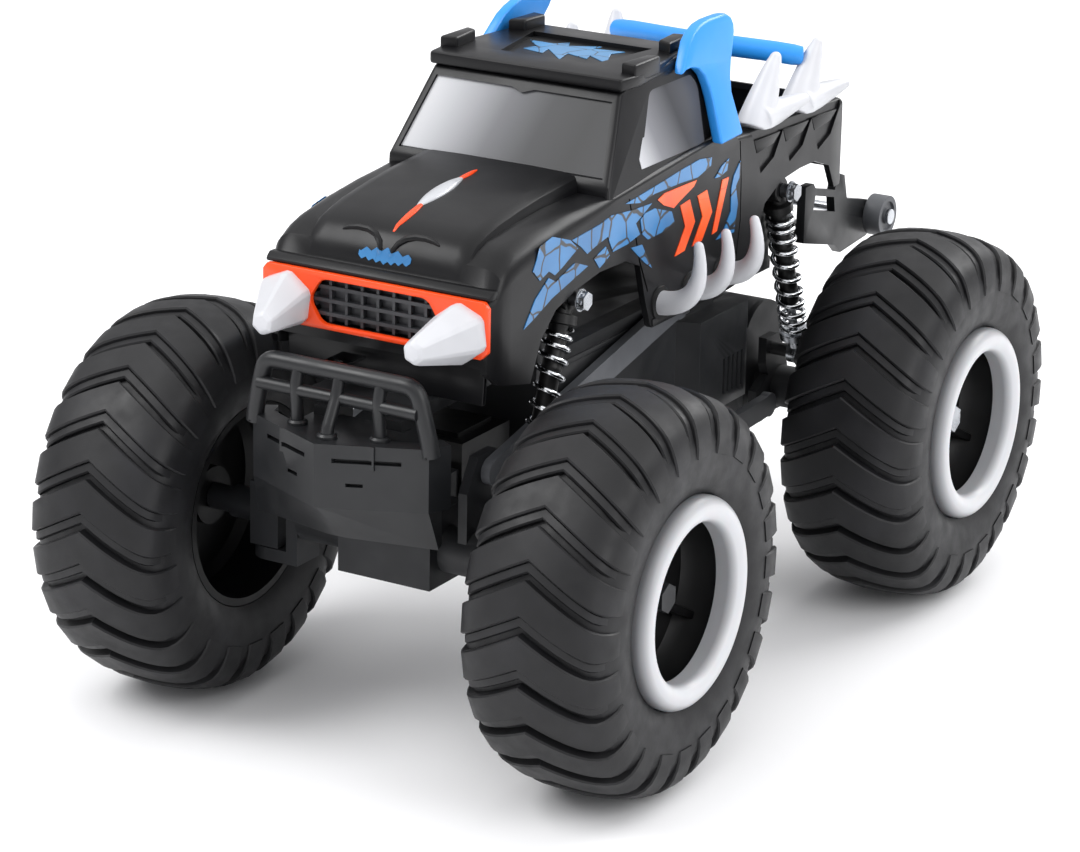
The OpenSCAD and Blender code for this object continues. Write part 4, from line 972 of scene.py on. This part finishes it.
def bed_spike(name, y):
    """A claw with a blunt prong that stands up and another that points to the rear."""
    z0 = 159.9 - (y - 42) * 0.025 + 0.3
    upright = curve_through((SPIKE_X - 0.6, y + 0.5, z0 - 2), (SPIKE_X - 1, y + 7, z0 + 8),
                            (37.0, y + 10.6, z0 + 20.0), BEND_STEPS)
    low = curve_through((SPIKE_X - 0.2, y + 1, z0 + 2.0), (SPIKE_X + 1, y + 11, z0 + 3.0),
                        (41.8, y + 22, z0 + 5.4), BEND_STEPS)
    one = tusk_like("one", *blunt(upright, tapered(5.2, 2.3, 0.75)), 20, 0.85)
    two = tusk_like("two", *blunt(low, tapered(4.2, 2.0, 0.8)), 20, 0.9)
    piece = weld_together(name, one, two)
    above_rail = [(y - 12, z0), (y + 40, z0), (y + 40, z0 + 40), (y - 12, z0 + 40)]
    keep = plate("keep", above_rail, 20, 60)
    modify(piece, "REMESH", mode="VOXEL", voxel_size=0.45 * MM)
    combine(piece, keep, "INTERSECT")
    modify(piece, "SMOOTH", factor=0.5, iterations=8)
    return smooth(piece, 60)


for number, y in enumerate((50, 79), 1):
    give_pair(bed_spike(f"bed_spike_left_{number}", y), "chassis", "white_plastic",
              white_abs, "bed_spikes")

# %% Side tusks
TUSK_Z = 118.8
COLLAR = [(38.9, 3.5), (38.9, 5.4), (39.6, 5.2), (39.8, 3.5)]
radii = [3.85 - 2.3 * (k / BEND_STEPS) ** 1.5 for k in range(BEND_STEPS + 1)]
for number, root_y in enumerate((-14.4, 4.6, 24.8), 1):
    path = curve_through((37, root_y, TUSK_Z), (55.6, root_y - 0.5, TUSK_Z - 0.4),
                         (51.6, root_y * 0.92 - 1, 138.4), BEND_STEPS)
    tusk = tusk_like(f"side_tusk_left_{number}", *blunt(path, radii), 20)
    collar = turned(f"tusk_collar_left_{number}", COLLAR, (0, root_y, TUSK_Z), (1, 0, 0), 32)
    give_pair(tusk, "chassis", "white_plastic", white_abs, "side_tusks")
    give_pair(collar, "chassis", "shell_plastic", black_abs)

# %% [markdown]
# ## Bumper and bull bar
# The bull bar is one bent tube with a crossbar and three struts. Its tubes are lofts along
# their centre lines, with the corners rounded by extra points. The bumper is a chunky wedge
# with a straight upper part, a shelf, two lugs and slots in its face. Four more plates and
# tubs copy the CAD part's own mesh, merge it and give it real edge radii.

# %% Bull bar
def filleted(corners, radius, steps=5):
    """A path with its corners rounded."""
    path = [Vector(corners[0])]
    for a, b, c in zip(corners, corners[1:], corners[2:]):
        a, b, c = Vector(a), Vector(b), Vector(c)
        before, after = b + (a - b).normalized() * radius, b + (c - b).normalized() * radius
        path += curve_through(before, b, after, steps)
    return [*path, Vector(corners[-1])]


def tube(name, corners, radius, bend_r=4.0, sides=18):
    path = filleted(corners, bend_r) if len(corners) > 2 else [Vector(c) for c in corners]
    return tusk_like(name, path, [radius] * len(path), sides)


hoop = tube("hoop", [(30, -130, 101.4), (29.6, -130.2, 104.6), (25.6, -130.7, 120.5),
                     (-25.6, -130.7, 120.5), (-29.6, -130.2, 104.6), (-30, -130, 101.4)], 2.6)
tubes = [hoop, tube("cross", [(-27, -132.2, 113.3), (27, -132.2, 113.3)], 1.9)]
STRUTS, FRONT_FOOT, SWEEP = (-14, 0, 14), -137.6, 0.42
FOOT = [(103, 0), (103, 3), (103.8, 3), (104.4, 2.4), (104.4, 0)]
for x in STRUTS:
    foot_y = FRONT_FOOT + abs(x) * SWEEP
    tubes.append(tube("strut", [(x, foot_y, 102), (x, foot_y, 105), (x, -132.6, 114),
                                (x, -130.7, 120.6)], 1.9, 2.0))
    tubes.append(turned("foot", FOOT, (x, foot_y, 0), (0, 0, 1), 24))
bull_bar = weld_together("bull_bar_tubes", *tubes)
give(bull_bar, "chassis", "bumper_plastic", bumper_abs, "bull_bar")

# %% Bumper
# x and y from the middle to the left end, at the foot, at the knee and above it
BUMPER_LOW = [(3, -133), (31, -127), (29, -122)]
BUMPER_KNEE = [(0.5, -144), (30, -131), (30, -124)]
BUMPER_TOP = [(0, -144.3), (30, -131), (33, -124), (28, -121), (26, -126), (0, -138)]
SHELF_PLAN = [(16, -138), (16, -118)]
LUG = [(8, -122), (15, -122), (15, -112), (8, -112)]
# start along the face, length, height of the foot and height of the slot
SLOTS = ((5, 20, 97.6, 1.3), (9, 5, 90.6, 1.1))
SLOT_START, SLOT_DEPTH = Vector((0, -144.8, 0)), Vector((0, 2.6, 0))


def both(half):
    """A plan outline from its left half."""
    return [*half, *((-x, y) for x, y in reversed(half) if x)]


wedge = loft("wedge", [[(x, y, z) for x, y in both(half)]
                       for half, z in ((BUMPER_KNEE, 84.4), (BUMPER_LOW, 72))])
combine(wedge, plate("upper", both(BUMPER_TOP), 84, 103, "z"), "UNION")
combine(wedge, plate("shelf", both(SHELF_PLAN), 96, 103, "z"), "UNION")
for side in (1, -1):
    lug = plate("lug", [(side * x, y) for x, y in LUG], 96, 105.9, "z")
    combine(wedge, lug, "UNION")
    face = Vector((side * 30, 13.3, 0)).normalized()
    for along, long, z, tall in SLOTS:
        a = SLOT_START + face * along
        b = a + face * long
        corners = [(p.x, p.y) for p in (a, b, b + SLOT_DEPTH, a + SLOT_DEPTH)]
        combine(wedge, plate("slot", corners, z, z + tall, "z"), "DIFFERENCE")
wedge.name = wedge.data.name = "front_bumper_wedge"
round_edges(wedge, 0.7, 3, 25)
give(wedge, "chassis", "bumper_plastic", bumper_abs, "front_bumper")

# %% CAD parts with real edge radii
SAME_POINT = 2e-6


def soft_copy(node, name, width, slot_name, finish):
    """A merged copy of a CAD part whose sharp edges get a radius."""
    deselect()
    piece = nodes[node].copy()
    piece.data = nodes[node].data.copy()
    piece.parent = None
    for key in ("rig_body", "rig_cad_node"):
        if key in piece:
            del piece[key]
    bpy.context.scene.collection.objects.link(piece)
    piece.name = piece.data.name = name
    edit(piece, (bpy.ops.mesh.remove_doubles, {"threshold": SAME_POINT}), ALL,
         (bpy.ops.mesh.dissolve_limited, {"angle_limit": math.radians(1)}))
    round_edges(piece, width, 3, 35)
    return give(piece, "chassis", slot_name, finish, node)


soft_copy("wheelie_frame", "wheelie_frame_bars", 0.6, "bumper_plastic", bumper_abs)
soft_copy("lower_hull", "lower_hull_tub", 0.5, "hull_plastic", hull_abs)
soft_copy("hull_lid", "hull_lid_cap", 0.4, "hull_plastic", hull_abs)
soft_copy("chassis_deck", "chassis_deck_plate", 0.35, "hull_plastic", hull_abs)

# %% [markdown]
# ## Shock absorbers
# A black tube with a spring collar hangs from the top bolt, and a steel rod comes out of
# it below. The chrome coil spans both. In CAD the coil is rigid, and here it is rigid too,
# attached to no body.

# %% Coils and tubes
SHOCK_X = 34.25
TURNS, TURN_STEPS, WIRE, COIL_RADIUS, CLOSE_ENDS = 11, 18, 0.82, 4.0, 0.055
# y and z of the top bolt and of the foot
SHOCKS = {"front": ((-64, 132), (-85, 72)), "rear": ((70, 135), (90, 75))}
# height below the bolt and radius
TUBE = [(-2, 0), (-2, 2.8), (-4.6, 2.9), (-4.9, 4.8), (-7.6, 4.9), (-8, 3.2), (-10, 3),
        (-20, 3), (-20.4, 3.2), (-21.4, 3.2), (-21.8, 3), (-40.6, 3), (-41, 3.1), (-42.6, 3.1),
        (-43, 2.9), (-43, 0)]
EYE = [(-2.25, 1.6), (-2.25, 3.9), (-1.9, 4.2), (1.9, 4.2), (2.25, 3.9), (2.25, 1.6)]


def shock_frame(top, foot):
    """Turns a shock drawn hanging straight down from the origin to its real place."""
    lean = math.atan2(foot[0] - top[0], top[1] - foot[1])
    return Matrix.Translation(Vector((0, top[0], top[1])) * MM) @ Matrix.Rotation(lean, 4, "X")


def coil(name, length):
    """A coil whose end turns lie flat and close."""
    steps = TURNS * TURN_STEPS
    top, bottom = -8.1 - WIRE, -length + 9.1 + WIRE
    path = []
    for i in range(steps + 1):
        t = i / steps
        eased = t - CLOSE_ENDS * math.sin(math.tau * t)
        a = math.tau * TURNS * t
        path.append((SHOCK_X + COIL_RADIUS * math.cos(a), COIL_RADIUS * math.sin(a),
                     top + (bottom - top) * eased))
    return tusk_like(name, path, [WIRE] * len(path), 8)


# %% Four shocks
for axle, (top, foot) in SHOCKS.items():
    length = math.dist(top, foot)
    place = shock_frame(top, foot)
    bodies = (f"{axle}_shock_bodies", f"{axle}_shock_rods")
    wire = coil(f"{axle}_spring_left", length)
    name = f"{axle}_shock_tube_left"
    tube_part = weld_together(name, turned(name, TUBE, (SHOCK_X, 0, 0), (0, 0, 1), 32),
                              turned("eye", EYE, (SHOCK_X, 0, 0), (1, 0, 0), 32))
    for piece in (wire, tube_part):
        piece.data.transform(place)
    wires = [wire, copy_of(wire, f"{axle}_spring_right", flip=True)]
    give_pair(tube_part, bodies[0], "black_plastic", black_abs, bodies[0])
    for side, piece in zip((1, -1), wires):
        piece.data.materials.clear()
        piece.data.materials.append(chrome_plate)
        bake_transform(piece)
        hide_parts(f"{axle}_springs")
    print(axle, "shock", round(length, 1), "mm")

# %% Bolts
WASHER = [(0, 0.6), (0, 3.4), (0.35, 3.4), (0.5, 3.2), (0.5, 0.6)]
HEAD_RADIUS, KEY_RADIUS = 2.9, 1.45


def hexagon(radius, at):
    """A hexagon around a point at y and z."""
    return [(at[0] + radius * math.cos(a), at[1] + radius * math.sin(a))
            for a in (math.tau * k / 6 for k in range(6))]


def bolt_head(name, x, at):
    """A washer, a hexagon head and the hollow for the key, facing outwards."""
    washer = turned("washer", WASHER, (x, *at), (1, 0, 0), 32)
    head = plate("head", hexagon(HEAD_RADIUS, at), x + 0.5, x + 2.15)
    key = plate("key", hexagon(KEY_RADIUS, at), x + 1.1, x + 3)
    combine(head, key, "DIFFERENCE")
    return weld_together(name, washer, round_edges(head, 0.25, 2))


FLANK_X = 39.4
for axle, (top, _) in SHOCKS.items():
    give_pair(bolt_head(f"{axle}_shock_bolt_left", FLANK_X, top), "chassis", "bright_steel",
              bright_steel)

# %% [markdown]
# ## The parts carried over from CAD
# What is left keeps its CAD mesh. Each part gets the finish that its real material has,
# and a small bevel on its sharp edges, as a mould or a lathe leaves it. Stickers, toothed
# wheels and the grille are too fine for the bevel and stay sharp.

# %% Finishes for carried-over parts
CARRIED = {
    "windshield": windshield_painted_reflection, "cab_windows": side_windows_painted_reflection, "grille": grille_abs,
    "side_decals_blue": blue_vinyl, "side_decals_orange": orange_vinyl,
    "bumper_clip": chrome_plate, "lid_seal": seal_silicone,
    "battery_pack": battery_film, "battery_door": hull_abs, "receiver_board": circuit_board,
    "power_switch": red_abs, "suspension_bolts": bright_steel, "wheelie_axle": bright_steel,
    "wheelie_rollers": link_nylon, "front_axle_housing": axle_nylon,
    "front_links": link_nylon, "kingpins": bright_steel, "steering_servo": black_abs,
    "servo_horn": white_abs, "tie_rod": black_abs, "knuckle_left": axle_nylon,
    "knuckle_right": axle_nylon, "rear_shaft": bright_steel, "drive_gear": gear_pom,
    "rear_axle_housing": axle_nylon, "gearbox_cover": axle_nylon, "rear_links": link_nylon,
    "drive_motor": bright_steel, "idler_gear": gear_pom, "motor_pinion": brass,
    "front_shock_rods": bright_steel, "rear_shock_rods": bright_steel,
}
SHARP = ("side_decals_blue", "side_decals_orange", "drive_gear", "idler_gear",
         "motor_pinion", "grille")
for node, finish in CARRIED.items():
    part = nodes[node]
    part.data.materials.clear()
    part.data.materials.append(finish)
    if node not in SHARP:
        weld = part.modifiers.new("weld", "WELD")
        weld.merge_threshold = SAME_POINT
        bevel = part.modifiers.new("edge", "BEVEL")
        bevel.width = 0.25 * MM
        bevel.segments = 2
        bevel.limit_method = "ANGLE"
        bevel.angle_limit = math.radians(40)
print("carried over:", len(CARRIED))

# %% [markdown]
# ## Floor, light and camera
# A pale floor and three large soft lamps: one high in front on the toy's right, one on its
# left to catch the flank, and one behind to draw the upper edges. The surroundings are
# white overhead and greyer towards the horizon, so that the bonnet and the roof reflect
# some darkness. The Standard view transform keeps the colours as strong as they are mixed.

# %% Floor
deselect()
bpy.ops.mesh.primitive_plane_add(size=12)
floor = bpy.context.object
floor.name = "floor"
pale, tree, shader, place = finish_of("pale studio floor", 0.7)
shader.inputs["Base Color"].default_value = srgb("#f4f4f5")
floor.data.materials.append(pale)
print("floor:", pale.name)


# %% Lights
# place, aim, width and height in metres, and power in watts
LAMPS = {"key": ((-0.9, -0.9, 1.3), (0, 0, 0.1), (0.9, 0.9), 17),
         "flank": ((1.3, -0.3, 0.8), (0, 0, 0.1), (0.7, 0.9), 8),
         "rim": ((0.5, 1.4, 1.1), (0, 0, 0.12), (1.4, 0.5), 16)}
for name, (location, target, size, power) in LAMPS.items():
    deselect()
    bpy.ops.object.light_add(type="AREA", location=location)
    lamp = bpy.context.object
    lamp.name = name
    lamp.data.shape = "RECTANGLE"
    lamp.data.size, lamp.data.size_y = size
    lamp.data.energy = power
    way = Vector(target) - Vector(location)
    lamp.rotation_euler = way.to_track_quat("-Z", "Y").to_euler()
    print("lamp:", name, power, "W")

# %% Surroundings
# height of the view, from the level 0 to straight up 1, and the grey seen there
SKY = ((0.0, "#ececee"), (0.16, "#b4b4b6"), (0.4, "#a9a9ab"), (0.64, "#f2f2f4"),
       (1.0, "#ffffff"))
SKY_STRENGTH = 1.35
world = bpy.data.worlds.new("studio")
bpy.context.scene.world = world
world.use_nodes = True
tree = world.node_tree
view = add(tree, "ShaderNodeTexCoord").outputs["Generated"]
height = add(tree, "ShaderNodeSeparateXYZ", {"Vector": view}).outputs["Z"]
background = tree.nodes["Background"].inputs
tree.links.new(ramp(tree, height, *SKY), background["Color"])
background["Strength"].default_value = SKY_STRENGTH
bpy.context.scene.view_settings.view_transform = "Standard"
print("surroundings:", len(SKY), "greys")

# %% Camera
CAMERA_AT, CAMERA_WAY, ROLL = (0.5691, -0.9914, 0.4521), (-0.4785, 0.8182, -0.3187), 1.134
SENSOR_MM, LENS_MM = 36, 127.4
look = Vector(CAMERA_WAY).normalized()
level = look.cross(Vector((0, 0, 1))).normalized()
above = level.cross(look)
roll = math.radians(ROLL)
right = math.cos(roll) * level + math.sin(roll) * above
up = -math.sin(roll) * level + math.cos(roll) * above
camera_data = bpy.data.cameras.new("camera")
camera_data.sensor_width = SENSOR_MM
camera_data.lens = LENS_MM
camera = bpy.data.objects.new("camera", camera_data)
bpy.context.scene.collection.objects.link(camera)
turn = Matrix((right, up, -look)).transposed().to_4x4()
camera.matrix_world = Matrix.Translation(CAMERA_AT) @ turn
bpy.context.scene.camera = camera
print("camera:", LENS_MM, "mm lens")
